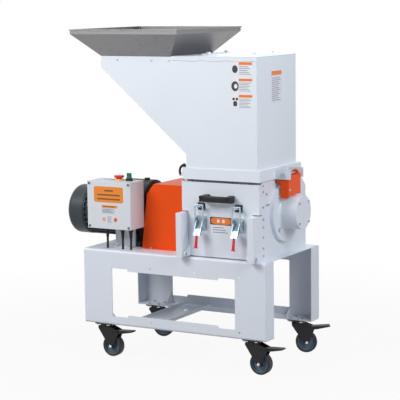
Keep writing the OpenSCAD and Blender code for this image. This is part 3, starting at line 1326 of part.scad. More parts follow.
module coupling() {
    // Two jawed hubs with an elastic star between them, and the gear unit's output shaft
    gap = 2 * clear;
    color("silver") {
        translate([coupling_x - hub_l, rotor_y, rotor_z]) coupling_hub(out_shaft_d);
        translate([coupling_x + jaw_l + gap + hub_l, rotor_y, rotor_z]) rotate([60, 0, 0]) mirror([1, 0, 0])
            coupling_hub(shaft_d);
        translate([gear_x1 - gear_foot_t * 1.8, rotor_y, rotor_z])
            rod_x(out_shaft_d / 2, coupling_x - gear_x1 + gear_foot_t * 1.8);
    }
    color("crimson") translate([coupling_x + clear, rotor_y, rotor_z]) difference() {
        union() for (a = [30:60:330]) rotate([a, 0, 0]) translate([0, -coupling_d * 0.085, coupling_d * 0.1])
            cube([jaw_l, coupling_d * 0.17, coupling_d * 0.39]);
        translate([-cut, 0, 0]) rod_x(out_shaft_d / 2 + 2 * clear, jaw_l + 2 * cut);
    }
}
module deck_bolts() {
    // Bolts of the gear unit, the guard and the box's stand
    color("silver") {
        for (p = gear_bolt_places) translate([p.x, p.y, deck_z + gear_foot_t])
            hex_bolt(deck_bolt_d, gear_foot_t);
        for (p = guard_bolt_places) translate([p.x, p.y, deck_z + guard_t]) hex_bolt(guard_bolt_d, guard_t);
        for (p = stand_bolt_places) translate([p.x, p.y, deck_z + box_t]) hex_bolt(guard_bolt_d, box_t);
    }
}

// Control box
box_gap = 12;
box_y0 = rotor_y - gear_r - box_gap - 3 * box_t - box_d;
cable_y = box_y0 + 0.38 * box_d;
box_z = deck_z + box_rise;
cover_t = 14;
stand_w = 90;
stand_x = box_x + 0.325 * box_w;
stand_foot = 22;
stand_bolt_places = [for (s = [0.25, 0.75]) [stand_x + s * stand_w, box_y0 + box_d - stand_foot / 2]];
module rounded_box(w, d, h, r) {
    // Box with round upright edges, its corner at the origin, drawn lying on its back
    translate([w / 2, d, h / 2]) rotate([90, 0, 0]) linear_extrude(d) round_rect(w, h, r);
}
module control_box() {
    // Enclosure, hollow and open to its cover, with holes for the glands and the switches
    color("whitesmoke") translate([box_x, box_y0 + cover_t, box_z]) difference() {
        rounded_box(box_w, box_d - cover_t, box_h, box_t);
        translate([box_t, -box_t - cut, box_t])
            cube([box_w - 2 * box_t, box_d - cover_t + cut, box_h - 2 * box_t]);
        for (x = cable_xs) translate([x - box_x, cable_y - box_y0 - cover_t, -cut])
            cylinder(d = gland_d / 2 + cable_d / 2, h = box_t + 2 * cut);
        for (p = switch_places) translate([p.x - box_x, p.y - box_y0 - cover_t, box_h - box_t - cut])
            cylinder(d = neck_d + 2 * bolt_clear, h = box_t + 2 * cut);
    }
}
neck_d = 22;
stop_x = box_x + 0.56 * box_w;
knob_x = box_x + 0.795 * box_w;
switch_y = box_y0 + 0.6 * box_d;
switch_places = [[stop_x, switch_y], [knob_x, switch_y]];
box_screw_d = 5;
box_screw_inset = 9;
module box_cover() {
    // Front cover with a screw in each corner
    color("whitesmoke") translate([box_x, box_y0, box_z]) difference() {
        rounded_box(box_w, cover_t - clear / 3, box_h, box_t);
        translate([box_t, box_t, box_t]) cube([box_w - 2 * box_t, cover_t, box_h - 2 * box_t]);
    }
    color("dimgray") for (x = [box_screw_inset, box_w - box_screw_inset], z = [box_screw_inset, box_h - box_screw_inset])
        translate([box_x + x, box_y0 - fit, box_z + z]) rotate([90, 0, 0]) difference() {
            cylinder(d = 2 * box_screw_d, h = box_screw_d / 2);
            translate([0, 0, box_screw_d / 4]) linear_extrude(box_screw_d)
                square([2 * box_screw_d, box_screw_d / 4], center = true);
        }
}
module box_stand() {
    // Folded upright behind the box, with a foot on the deck
    color("white") difference() {
        union() {
            translate([stand_x, box_y0 + box_d, deck_z]) cube([stand_w, box_t, box_rise + box_h * 0.9]);
            for (x = [0, stand_w - box_t]) translate([stand_x + x, box_y0 + box_d, deck_z])
                cube([box_t, 3 * box_t, box_rise + box_h * 0.9]);
            translate([stand_x, box_y0 + box_d - stand_foot, deck_z]) cube([stand_w, stand_foot + cut, box_t]);
        }
        for (p = stand_bolt_places) translate([p.x, p.y, deck_z - cut])
            cylinder(d = guard_bolt_d + 2 * bolt_clear, h = box_t + 2 * cut);
    }
}
collar_h = 6;
module box_fittings() {
    // Cable glands below, and the stop's collar, the selector's bezel and a cover plate on top
    color("black") for (x = cable_xs) translate([x, cable_y, box_z - gland_h * 0.9]) difference() {
        union() {
            cylinder(d1 = gland_d * 0.7, d2 = gland_d * 0.8, h = gland_h * 0.5);
            translate([0, 0, gland_h * 0.4]) cylinder(d = gland_d, h = gland_h * 0.5, $fn = 6);
            cylinder(d = (gland_d + cable_d) / 2 - 2 * clear, h = gland_h * 0.9 + box_t);
        }
        translate([0, 0, -cut]) cylinder(d = cable_d + 2 * fit, h = gland_h * 2);
    }
    color("gold") translate([stop_x, switch_y, box_z + box_h]) difference() {
        cylinder(d1 = stop_d * 0.95, d2 = stop_d * 0.8, h = collar_h);
        translate([0, 0, -cut]) cylinder(d = neck_d + 2 * clear, h = collar_h + 2 * cut);
    }
    color("black") translate([knob_x, switch_y, box_z + box_h]) difference() {
        cylinder(d1 = bezel_d, d2 = bezel_d * 0.88, h = collar_h * 1.6);
        translate([0, 0, -cut]) cylinder(d = neck_d + 2 * clear, h = collar_h * 2);
    }
    color("black") translate([cable_xs[2], frame_d / 2, under_z]) difference() {
        // Mains inlet in the rear panel, with its pins in a round recess
        union() {
            rod_y(inlet_d * 0.7, box_t);
            translate([0, -sheet_t - inlet_d / 2, 0]) rod_y(inlet_d / 2, sheet_t + inlet_d / 2 + cut);
        }
        difference() {
            translate([0, -inlet_d / 3, 0]) rod_y(inlet_d * 0.42, inlet_d);
            for (a = [45:90:315]) rotate([0, a, 0]) translate([inlet_d / 4, -inlet_d, 0])
                rod_y(box_t * 0.8, inlet_d);
        }
    }
    color("lightgray") translate([box_x + 0.24 * box_w, switch_y - 0.1 * box_d, box_z + box_h])
        cube([0.2 * box_w, 0.2 * box_d, box_t / 2]);
}
module stop_button() {
    // Mushroom head with a rounded rim on a neck that slides in the collar
    head_z = box_z + box_h + collar_h + stop_travel + clear;
    color("red") translate([stop_x, switch_y, 0]) {
        translate([0, 0, head_z]) rotate_extrude() {
            square([stop_d / 2 - collar_h / 2, collar_h * 1.6]);
            translate([0, collar_h * 0.5]) square([stop_d / 2, collar_h * 0.6]);
            for (z = [0.5, 1.1]) translate([stop_d / 2 - collar_h / 2, collar_h * z]) circle(collar_h / 2);
        }
        translate([0, 0, box_z + box_h - 2 * box_t - stop_travel])
            cylinder(d = neck_d, h = head_z - box_z - box_h + 2 * box_t + stop_travel);
    }
}
module selector_knob() {
    // Illuminated selector: a ribbed drum with a grip bar across its top
    knob_h = bezel_d * 0.62;
    color("seagreen") translate([knob_x, switch_y, box_z + box_h - 2 * box_t]) {
        cylinder(d = neck_d, h = 2 * box_t + collar_h * 2);
        translate([0, 0, 2 * box_t + collar_h * 2]) {
            cylinder(d1 = neck_d, d2 = neck_d * 0.86, h = knob_h / 3);
            translate([-neck_d * 0.43, -neck_d * 0.14, 0]) cube([neck_d * 0.86, neck_d * 0.28, knob_h]);
        }
    }
}
cable_bend = 4 * cable_d;
under_z = deck_z - sheet_t - cable_bend - clear;
inlet_d = 36;
module route_leg(a, b) {
    // Straight stretch between two points on a line along one axis
    l = norm(b - a);
    z = (b - a) / l;
    x = [z.y, z.z, z.x];
    y = cross(z, x);
    multmatrix([[x.x, y.x, z.x, a.x], [x.y, y.y, z.y, a.y], [x.z, y.z, z.z, a.z], [0, 0, 0, 1]])
        cylinder(d = cable_d, h = l);
}
module route_bend(c, d0, d1) {
    // Quarter turn at a corner, from direction d0 to direction d1
    x = -d1;
    y = d0;
    z = cross(x, y);
    o = c - cable_bend * d0 + cable_bend * d1;
    multmatrix([[x.x, y.x, z.x, o.x], [x.y, y.y, z.y, o.y], [x.z, y.z, z.z, o.z], [0, 0, 0, 1]])
        rotate_extrude(angle = 90) translate([cable_bend, 0]) circle(d = cable_d);
}
module cable(points) {
    // Cable with a quarter turn at every inner point
    n = len(points);
    dirs = [for (i = [0:n - 2]) (points[i + 1] - points[i]) / norm(points[i + 1] - points[i])];
    for (i = [0:n - 2]) route_leg(points[i] + (i > 0 ? cable_bend : 0) * dirs[i],
        points[i + 1] - (i < n - 2 ? cable_bend : 0) * dirs[i]);
    for (i = [1:n - 2]) route_bend(points[i], dirs[i - 1], dirs[i]);
}
module cables() {
    // Two cables to the motor's terminal box and one to the inlet in the rear panel, all under the deck
    top = box_z + 2 * box_t;
    color("black") {
        cable([[cable_xs[0], cable_y, top], [cable_xs[0], cable_y, under_z],
            [motor_cable_xs[0], cable_y, under_z], [motor_cable_xs[0], motor_cable_y, under_z],
            [motor_cable_xs[0], motor_cable_y, motor_z - term_w / 2 + gland_h / 2]]);
        cable([[cable_xs[1], cable_y, top], [cable_xs[1], cable_y, under_z - 1.5 * cable_d],
            [cable_xs[1], cable_y + 4 * cable_bend, under_z - 1.5 * cable_d],
            [motor_cable_xs[1], cable_y + 4 * cable_bend, under_z - 1.5 * cable_d],
            [motor_cable_xs[1], motor_cable_y, under_z - 1.5 * cable_d],
            [motor_cable_xs[1], motor_cable_y, motor_z - term_w / 2 + gland_h / 2]]);
        cable([[cable_xs[2], cable_y, top], [cable_xs[2], cable_y, under_z],
            [cable_xs[2], frame_d / 2 - sheet_t - inlet_d / 2, under_z]]);
    }
}

deck_frame();
cross_beam();
caster_plates();
caster_bolts();
fork(0);  // fork_front_left
fork(1);  // fork_front_right
fork(2);  // fork_rear_left
fork(3);  // fork_rear_right
wheel(0);  // wheel_front_left
wheel(1);  // wheel_front_right
wheel(2);  // wheel_rear_left
wheel(3);  // wheel_rear_right
pedal(0);  // pedal_front_left
pedal(1);  // pedal_front_right
pedal(2);  // pedal_rear_left
pedal(3);  // pedal_rear_right
side_plates();
chamber_walls();
knife_bars();
bed_knives();
screen();
screen_cradle();
rotor();
rotor_knives();
bearing_housings();
bearings();
bearing_caps();
chamber_bolts();
deck_bolts();
chamber_seal();
front_door();
hinge_pins();
door_handle();
latch_bases();
latch_lever(0);  // latch_lever_left
latch_lever(1);  // latch_lever_right
latch_loop(0);  // latch_loop_left
latch_loop(1);  // latch_loop_right
catches();
hopper();
hopper_tray();
hopper_lid();
lid_plate();
hopper_screws();
hinge_bracket();
hinge_rod();
hopper_lock();
motor();
motor_cowl();
motor_fan();
gear_unit();
coupling();
coupling_guard();
control_box();
box_cover();
box_stand();
box_fittings();
stop_button();
selector_knob();
cables();
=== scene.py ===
import math
import bpy
import numpy as np
from mathutils import Matrix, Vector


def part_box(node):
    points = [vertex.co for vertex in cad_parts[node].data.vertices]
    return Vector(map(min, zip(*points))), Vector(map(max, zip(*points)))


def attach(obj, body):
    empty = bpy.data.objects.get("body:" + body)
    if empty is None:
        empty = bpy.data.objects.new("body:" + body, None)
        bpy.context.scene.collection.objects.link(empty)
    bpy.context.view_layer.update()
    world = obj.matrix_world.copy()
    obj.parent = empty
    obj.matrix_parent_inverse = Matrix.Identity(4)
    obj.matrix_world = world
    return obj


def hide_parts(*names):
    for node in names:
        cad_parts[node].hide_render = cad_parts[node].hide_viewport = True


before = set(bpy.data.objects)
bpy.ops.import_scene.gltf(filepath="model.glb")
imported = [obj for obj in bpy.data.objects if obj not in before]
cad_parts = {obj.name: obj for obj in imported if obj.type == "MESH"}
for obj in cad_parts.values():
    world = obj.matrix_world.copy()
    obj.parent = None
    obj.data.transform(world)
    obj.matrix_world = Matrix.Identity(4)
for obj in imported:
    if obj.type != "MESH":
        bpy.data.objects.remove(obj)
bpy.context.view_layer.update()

mm = 0.001


# Shader maths: a wire is one socket, and plain arithmetic on it adds the Math nodes
class Wire:
    def __init__(self, nodes, socket):
        self.nodes, self.socket = nodes, socket

    def maths(self, operation, *values):
        return self.nodes.wire("ShaderNodeMath", {"operation": operation}, dict(enumerate(values)))

    def __add__(self, other): return self.maths("ADD", self, other)
    def __radd__(self, other): return self.maths("ADD", other, self)
    def __sub__(self, other): return self.maths("SUBTRACT", self, other)
    def __rsub__(self, other): return self.maths("SUBTRACT", other, self)
    def __mul__(self, other): return self.maths("MULTIPLY", self, other)
    def __rmul__(self, other): return self.maths("MULTIPLY", other, self)
    def __truediv__(self, other): return self.maths("DIVIDE", self, other)
    def __rtruediv__(self, other): return self.maths("DIVIDE", other, self)
    def __pow__(self, other): return self.maths("POWER", self, other)
    def __gt__(self, other): return self.maths("GREATER_THAN", self, other)
    def __lt__(self, other): return self.maths("LESS_THAN", self, other)
    def fract(self): return self.maths("FRACT", self)
    def floor(self): return self.maths("FLOOR", self)
    def size(self): return self.maths("ABSOLUTE", self)
    def highest(self, other): return self.maths("MAXIMUM", self, other)
    def between(self, low, high): return (self > low) * (self < high)

    def eased(self, low, high):
        # 0 below low, 1 above high, and smooth in between
        return self.nodes.wire("ShaderNodeMapRange", {"interpolation_type": "SMOOTHSTEP"},
                               {0: self, 1: low, 2: high, 3: 0.0, 4: 1.0})


# The nodes of a material or of the world
class Nodes:
    def __init__(self, owner):
        owner.use_nodes = True
        self.tree = owner.node_tree
        self.tree.nodes.clear()

    def add(self, kind, settings=None, sockets=None):
        # Settings come first, because they decide which sockets a node has
        node = self.tree.nodes.new(kind)
        for key, value in (settings or {}).items():
            setattr(node, key, value)
        for key, value in (sockets or {}).items():
            if isinstance(value, Wire):
                self.tree.links.new(value.socket, node.inputs[key])
            else:
                node.inputs[key].default_value = value
        return node

    def wire(self, kind, settings=None, sockets=None, output=0):
        return Wire(self, self.add(kind, settings, sockets).outputs[output])

    def seenRay(self):
        # 1 where the camera looks straight, in a mirror or through glass, and 0 for light on its way to the object
        path = self.add("ShaderNodeLightPath")
        straight, mirrored, through = (Wire(self, path.outputs[f"Is {kind} Ray"])
                                       for kind in ("Camera", "Glossy", "Transmission"))
        return straight.highest(mirrored).highest(through)


edges = {"samples": 4, "gain": 6}


class Finish(Nodes):
    def __init__(self, name, rough, metal=0.0, coat=0.0, specular=0.5):
        self.material = bpy.data.materials.new(name)
        super().__init__(self.material)
        self.shader = self.add("ShaderNodeBsdfPrincipled", {}, {
            "Roughness": rough, "Metallic": metal, "Coat Weight": coat, "Specular IOR Level": specular})
        self.result = self.add("ShaderNodeOutputMaterial", {}, {0: Wire(self, self.shader.outputs[0])})
        self.place = self.wire("ShaderNodeTexCoord", output="Object")

    def axes(self, source):
        return [Wire(self, output) for output in self.add("ShaderNodeSeparateXYZ", {}, {0: source}).outputs]

    def stretched(self, scale):
        return self.wire("ShaderNodeMapping", {}, {"Vector": self.place, "Scale": scale})

    def cloud(self, scale, detail, source=None):
        return self.wire("ShaderNodeTexNoise", {}, {"Vector": source or self.place, "Scale": scale, "Detail": detail})

    def cells(self, scale):
        return self.wire("ShaderNodeTexVoronoi", {}, {"Vector": self.place, "Scale": scale})

    def blend(self, share, first, second):
        pair = [c if isinstance(c, Wire) else (*c, 1) for c in (first, second)]
        return self.wire("ShaderNodeMix", {"data_type": "RGBA"}, {0: share, 6: pair[0], 7: pair[1]}, 2)

    def rounded(self, radius):
        # Soft edges: the normal round a bevel of this radius, and how far the surface leaves it
        bevel = self.wire("ShaderNodeBevel", {"samples": edges["samples"]}, {"Radius": radius})
        flat = self.wire("ShaderNodeNewGeometry", output="Normal")
        facing = self.wire("ShaderNodeVectorMath", {"operation": "DOT_PRODUCT"}, {0: bevel, 1: flat}, "Value")
        return bevel, (1 - facing) * edges["gain"]

    def relief(self, height, depth, normal, strength):
        return self.wire("ShaderNodeBump", {}, {"Height": height, "Distance": depth, "Normal": normal,
                                                "Strength": strength})

    def send(self, **sockets):
        for key, value in sockets.items():
            self.tree.links.new(value.socket, self.shader.inputs[key.replace("_", " ")])
        return self.material


# Paints and plastics. A cloud is (scale, detail), a reach is (from, to)
coating = {"mottleScale": 5.0, "mottleDetail": 2.0, "peel": (420.0, 2.0), "peelStrength": 0.5, "speck": (38.0, 5.0),
           "wornEdge": (0.25, 1.1), "wornSpeck": (0.42, 0.7), "dustHeight": (0.13, 0.3), "dustSpeck": (0.45, 0.75),
           "roughSway": 0.12, "wornRough": 0.2, "specular": 0.25}


def coated(name, values):
    # Powder coat: slight mottling, orange-peel relief, worn edges and, where asked for, a little dust low down
    f = Finish(name, values["rough"], coat=values.get("coat", 0.0),
               specular=values.get("specular", coating["specular"]))
    bevel, edge = f.rounded(values["edge"])
    wide = f.cloud(values.get("mottleScale", coating["mottleScale"]), coating["mottleDetail"])
    peel = f.cloud(*coating["peel"])
    speck = f.cloud(*coating["speck"])
    tone = f.blend(wide, values["colour"], values["second"])
    wear = edge.eased(*coating["wornEdge"]) * speck.eased(*coating["wornSpeck"]) * values["wear"]
    tone = f.blend(wear, tone, values["worn"])
    if "dust" in values:
        low = 1 - f.axes(f.place)[2].eased(*coating["dustHeight"])
        tone = f.blend(low * speck.eased(*coating["dustSpeck"]) * values["dust"], tone, values["dustColour"])
    return f.send(Base_Color=tone,
                  Roughness=values["rough"] + (wide - 0.5) * coating["roughSway"] + wear * coating["wornRough"],
                  Normal=f.relief(peel, values["peel"], bevel, coating["peelStrength"]))


paints = {
    "whitePaint": {"colour": (0.76, 0.81, 0.885), "second": (0.80, 0.84, 0.91), "worn": (0.70, 0.72, 0.76),
                   "wear": 0.35, "rough": 0.36, "edge": 1.6 * mm, "peel": 0.05 * mm, "coat": 0.05,
                   "dust": 0.12, "dustColour": (0.62, 0.62, 0.62)},
    "hopperPaint": {"colour": (0.80, 0.85, 0.92), "second": (0.83, 0.875, 0.935), "worn": (0.72, 0.74, 0.78),
                    "wear": 0.25, "rough": 0.34, "edge": 1.6 * mm, "peel": 0.05 * mm, "coat": 0.05},
    "boxPaint": {"colour": (0.70, 0.74, 0.79), "second": (0.74, 0.775, 0.82), "worn": (0.6, 0.63, 0.67),
                 "wear": 0.25, "rough": 0.38, "edge": 2.2 * mm, "peel": 0.07 * mm},
    "orangePaint": {"colour": (0.88, 0.075, 0.004), "second": (0.95, 0.10, 0.006), "worn": (0.98, 0.32, 0.14),
                    "wear": 0.4, "rough": 0.36, "edge": 1.8 * mm, "peel": 0.06 * mm, "specular": 0.2},
    "motorPaint": {"colour": (0.036, 0.050, 0.062), "second": (0.052, 0.068, 0.082), "worn": (0.17, 0.2, 0.23),
                   "wear": 0.5, "rough": 0.36, "edge": 1.4 * mm, "peel": 0.25 * mm, "mottleScale": 14.0},
    "blackPaint": {"colour": (0.012, 0.012, 0.014), "second": (0.02, 0.02, 0.023), "worn": (0.12, 0.12, 0.12),
                   "wear": 0.5, "rough": 0.38, "edge": 1.0 * mm, "peel": 0.08 * mm, "mottleScale": 22.0},
    "blackPlastic": {"colour": (0.010, 0.010, 0.012), "second": (0.018, 0.018, 0.02), "worn": (0.07, 0.07, 0.07),
                     "wear": 0.3, "rough": 0.42, "edge": 1.2 * mm, "peel": 0.12 * mm, "mottleScale": 30.0},
    "redPlastic": {"colour": (0.62, 0.012, 0.03), "second": (0.72, 0.02, 0.04), "worn": (0.85, 0.2, 0.2),
                   "wear": 0.3, "rough": 0.32, "edge": 1.2 * mm, "peel": 0.03 * mm, "coat": 0.3},
    "yellowPlastic": {"colour": (0.88, 0.42, 0.02), "second": (0.92, 0.5, 0.03), "worn": (0.95, 0.7, 0.3),
                      "wear": 0.2, "rough": 0.35, "edge": 0.8 * mm, "peel": 0.03 * mm},
    "greenPlastic": {"colour": (0.005, 0.12, 0.075), "second": (0.01, 0.16, 0.1), "worn": (0.1, 0.35, 0.25),
                     "wear": 0.3, "rough": 0.32, "edge": 1.0 * mm, "peel": 0.03 * mm, "coat": 0.3},
    "rimPlastic": {"colour": (0.085, 0.135, 0.185), "second": (0.12, 0.18, 0.235), "worn": (0.3, 0.36, 0.42),
                   "wear": 0.4, "rough": 0.4, "edge": 1.6 * mm, "peel": 0.1 * mm, "mottleScale": 40.0},
    "greyPlastic": {"colour": (0.48, 0.49, 0.52), "second": (0.55, 0.56, 0.59), "worn": (0.7, 0.7, 0.72),
                    "wear": 0.2, "rough": 0.4, "edge": 0.8 * mm, "peel": 0.05 * mm},
}
finishes = {name: coated(name, values) for name, values in paints.items()}


# Bare metals
metalwork = {"grainDetail": 4.0, "wide": (9.0, 3.0), "spangleScale": 160.0, "grainShare": 0.55, "wideShare": 0.25,
             "smudge": (26.0, 5.0), "smudgeReach": (0.55, 0.75), "brightEdge": (0.3, 1.2), "brightShare": 0.5,
             "roughSway": 0.16, "smudgeRough": 0.2, "grainStrength": 0.6}


def bare(name, values):
    # Grain is a noise stretched along one axis; plating adds pale and dark spangles
    f = Finish(name, values["rough"], metal=1.0)
    bevel, edge = f.rounded(values["edge"])
    grain = f.cloud(values["grain"], metalwork["grainDetail"], f.stretched(values["along"]))
    spangle = f.cells(metalwork["spangleScale"]) * values["plated"]
    share = grain * metalwork["grainShare"] + f.cloud(*metalwork["wide"]) * metalwork["wideShare"] + spangle
    tone = f.blend(share, values["colour"], values["second"])
    smudge = f.cloud(*metalwork["smudge"]).eased(*metalwork["smudgeReach"]) * values["smudge"]
    tone = f.blend(smudge, tone, values["dark"])
    tone = f.blend(edge.eased(*metalwork["brightEdge"]) * metalwork["brightShare"], tone, values["bright"])
    return f.send(Base_Color=tone,
                  Roughness=(values["rough"] + (grain - 0.5) * metalwork["roughSway"]
                             + smudge * metalwork["smudgeRough"]),
                  Normal=f.relief(grain, values["depth"], bevel, metalwork["grainStrength"]))


metals = {
    "stainless": {"colour": (0.20, 0.195, 0.20), "second": (0.30, 0.295, 0.30), "dark": (0.14, 0.135, 0.14),
                  "bright": (0.8, 0.8, 0.8), "rough": 0.36, "grain": 40.0, "along": (1.0, 22.0, 22.0),
                  "edge": 1.2 * mm, "depth": 0.03 * mm, "plated": 0.0, "smudge": 0.3},
    "zinc": {"colour": (0.26, 0.36, 0.42), "second": (0.50, 0.58, 0.63), "dark": (0.10, 0.16, 0.20),
             "bright": (0.66, 0.72, 0.77), "rough": 0.45, "grain": 160.0, "along": (1.0, 1.0, 3.0),
             "edge": 0.7 * mm, "depth": 0.03 * mm, "plated": 0.35, "smudge": 0.45},
    "boltSteel": {"colour": (0.42, 0.43, 0.45), "second": (0.62, 0.63, 0.65), "dark": (0.16, 0.16, 0.17),
                  "bright": (0.85, 0.85, 0.86), "rough": 0.32, "grain": 220.0, "along": (1.0, 1.0, 1.0),
                  "edge": 0.6 * mm, "depth": 0.03 * mm, "plated": 0.25, "smudge": 0.5},
    "groundSteel": {"colour": (0.50, 0.50, 0.52), "second": (0.68, 0.68, 0.70), "dark": (0.30, 0.28, 0.26),
                    "bright": (0.9, 0.9, 0.9), "rough": 0.25, "grain": 120.0, "along": (1.0, 18.0, 18.0),
                    "edge": 0.6 * mm, "depth": 0.02 * mm, "plated": 0.0, "smudge": 0.3},
    # Dark steel for the wheel hubs and the cover screws, and also used as painted shade inside the orange hinge
    # bracket
    "darkSteelAndShade": {"colour": (0.10, 0.10, 0.105), "second": (0.17, 0.17, 0.18), "dark": (0.05, 0.05, 0.05),
                  "bright": (0.4, 0.4, 0.4), "rough": 0.42, "grain": 120.0, "along": (1.0, 1.0, 1.0),
                  "edge": 0.8 * mm, "depth": 0.05 * mm, "plated": 0.1, "smudge": 0.3},
}
finishes.update({name: bare(name, values) for name, values in metals.items()})


# Rubber
moulding = {"edge": 1.5 * mm, "fine": (600.0, 3.0), "scuff": (60.0, 6.0), "scuffReach": (0.5, 0.8),
            "dustyEdge": (0.3, 1.2), "dustyShare": 0.3, "roughSway": 0.2, "depth": 0.12 * mm, "fineStrength": 0.6,
            "specular": 0.35}


def rubbery(name, values):
    # Fine matt relief, with scuffs and edges gone pale with dust
    f = Finish(name, values["rough"], specular=moulding["specular"])
    bevel, edge = f.rounded(moulding["edge"])
    scuff = f.cloud(*moulding["scuff"])
    dusty = (scuff.eased(*moulding["scuffReach"]) * values["scuff"]
             + edge.eased(*moulding["dustyEdge"]) * moulding["dustyShare"])
    return f.send(Base_Color=f.blend(dusty, values["colour"], values["dusty"]),
                  Roughness=values["rough"] + (scuff - 0.5) * moulding["roughSway"],
                  Normal=f.relief(f.cloud(*moulding["fine"]), moulding["depth"], bevel, moulding["fineStrength"]))


rubbers = {
    "tyreRubber": {"colour": (0.018, 0.018, 0.02), "dusty": (0.16, 0.155, 0.15), "rough": 0.55, "scuff": 0.5},
    "cableRubber": {"colour": (0.011, 0.011, 0.012), "dusty": (0.08, 0.08, 0.08), "rough": 0.45, "scuff": 0.3},
    "sealRubber": {"colour": (0.09, 0.09, 0.10), "dusty": (0.2, 0.2, 0.2), "rough": 0.6, "scuff": 0.3},
}
finishes.update({name: rubbery(name, values) for name, values in rubbers.items()})
print("finishes made:", len(finishes))


# Dressing the CAD nodes: one finish, and others by place, from each face's middle in mm
def dress(node, finish, *places):
    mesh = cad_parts[node].data
    mesh.materials.clear()
    mesh.materials.append(finishes[finish])
    if places:
        middles = np.empty(len(mesh.polygons) * 3)
        mesh.polygons.foreach_get("center", middles)
        x, y, z = middles.reshape(-1, 3).T / mm
        chosen = np.zeros(len(mesh.polygons), np.int32)
        for number, (inside, other) in enumerate(places, 1):
            mesh.materials.append(finishes[other])
            chosen[inside(x, y, z)] = number
        mesh.polygons.foreach_set("material_index", chosen)


corners = ["front_left", "front_right", "rear_left", "rear_right"]
for finish, nodes in {
    "whitePaint": ["deck_frame", "cross_beam", "side_plates", "chamber_walls", "front_door", "bearing_housings",
                   "bearing_caps", "screen_cradle"],
    "hopperPaint": ["hopper", "hopper_lid", "lid_plate"],
    "boxPaint": ["control_box", "box_stand"],
    "orangePaint": ["coupling_guard"],
    "motorPaint": ["motor", "motor_cowl"],
    "blackPaint": ["caster_plates", "hopper_lock"] + ["fork_" + corner for corner in corners],
    "blackPlastic": ["door_handle", "motor_fan"] + ["pedal_" + corner for corner in corners],
    "redPlastic": ["stop_button"],
    "greenPlastic": ["selector_knob"],
    "stainless": ["hopper_tray"],
    "zinc": ["latch_bases", "latch_loop_left", "latch_loop_right", "hinge_rod", "hinge_pins"],
    "boltSteel": ["caster_bolts", "chamber_bolts", "deck_bolts", "hopper_screws"],
    "groundSteel": ["rotor", "rotor_knives", "knife_bars", "bed_knives", "screen", "bearings"],
    "sealRubber": ["chamber_seal"],
    "cableRubber": ["cables"],
}.items():
    for node in nodes:
        dress(node, finish)

# Rims with rubber tyres and steel hubs; turns are those of the forks at rest, in degrees
wheels = {"turns": dict(zip(corners, (0, 0, 10, 28))), "rimRadius": 34.2, "hubRadius": 12.0}


def wheelAxes(corner):
    # The wheel's middle in mm, and its axle and its way ahead as unit vectors
    turn = math.radians(wheels["turns"][corner])
    c, s = math.cos(turn), math.sin(turn)
    return np.add(*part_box("wheel_" + corner)) / 2 / mm, np.array((-s, c, 0.0)), np.array((c, s, 0.0))


def axleDistance(corner):
    # How far a place is from the wheel's axle: its way ahead of the hub and its height above it, squared and added
    hub, _, ahead = wheelAxes(corner)
    return lambda x, y, z: np.hypot((x - hub[0]) * ahead[0] + (y - hub[1]) * ahead[1], z - hub[2])


for corner in corners:
    distance = axleDistance(corner)
    dress("wheel_" + corner, "rimPlastic",
          (lambda x, y, z: distance(x, y, z) > wheels["rimRadius"], "tyreRubber"),
          (lambda x, y, z: distance(x, y, z) < wheels["hubRadius"], "darkSteelAndShade"))

# Nodes of two or three finishes, parted at these limits in mm
leverGrip = {"top": 526}
keepers = {"bottom": 690}
# Painted shade: the inside of the orange hinge bracket, between the chamber wall and its front flange and behind that
# flange under its top arm, where the bracket lies in shadow
bracketShade = {"x": 425.8, "y": (-83.5, 13.5), "z": (689.5, 733.5), "neckX": 394.5, "tongueTop": 720, "tongueY": -82.5}
armBolt = {"x": 420, "y": (-84, -74), "z": (689, 701)}
breather = {"bottom": 689}
jawStar = {"x": (-131, -110), "axisY": -15, "axisZ": 603, "boreRadius": 20}
coverScrews = {"y": -228.05}
collar = {"x": (-294.5, -255.5), "bottom": 706}
greyPlate = {"x": -298, "bottom": 706.5}


def within(value, pair):
    return (value > pair[0]) & (value < pair[1])


for side in ("left", "right"):
    dress("latch_lever_" + side, "zinc", (lambda x, y, z: z < leverGrip["top"], "redPlastic"))
dress("catches", "zinc", (lambda x, y, z: z > keepers["bottom"], "boltSteel"))
# Painted shade: the shaded inside of the hinge bracket takes the dark steel finish, and the bolt on its web is bare
# steel
dress("hinge_bracket", "orangePaint",
      (lambda x, y, z: (x < bracketShade["x"]) & within(y, bracketShade["y"]) & within(z, bracketShade["z"])
       & ((x < bracketShade["neckX"]) | (z < bracketShade["tongueTop"]) & (y > bracketShade["tongueY"])), "darkSteelAndShade"),
      (lambda x, y, z: (x > armBolt["x"]) & within(y, armBolt["y"]) & within(z, armBolt["z"]), "boltSteel"))
dress("gear_unit", "motorPaint", (lambda x, y, z: z > breather["bottom"], "blackPlastic"))
dress("coupling", "groundSteel",
      (lambda x, y, z: within(x, jawStar["x"])
       & (np.hypot(y - jawStar["axisY"], z - jawStar["axisZ"]) > jawStar["boreRadius"]), "redPlastic"))
dress("box_cover", "boxPaint", (lambda x, y, z: y < coverScrews["y"], "darkSteelAndShade"))
dress("box_fittings", "blackPlastic",
      (lambda x, y, z: within(x, collar["x"]) & (z > collar["bottom"]), "yellowPlastic"),
      (lambda x, y, z: (x < greyPlate["x"]) & (z > greyPlate["bottom"]), "greyPlastic"))
print("nodes dressed:", len(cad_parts))


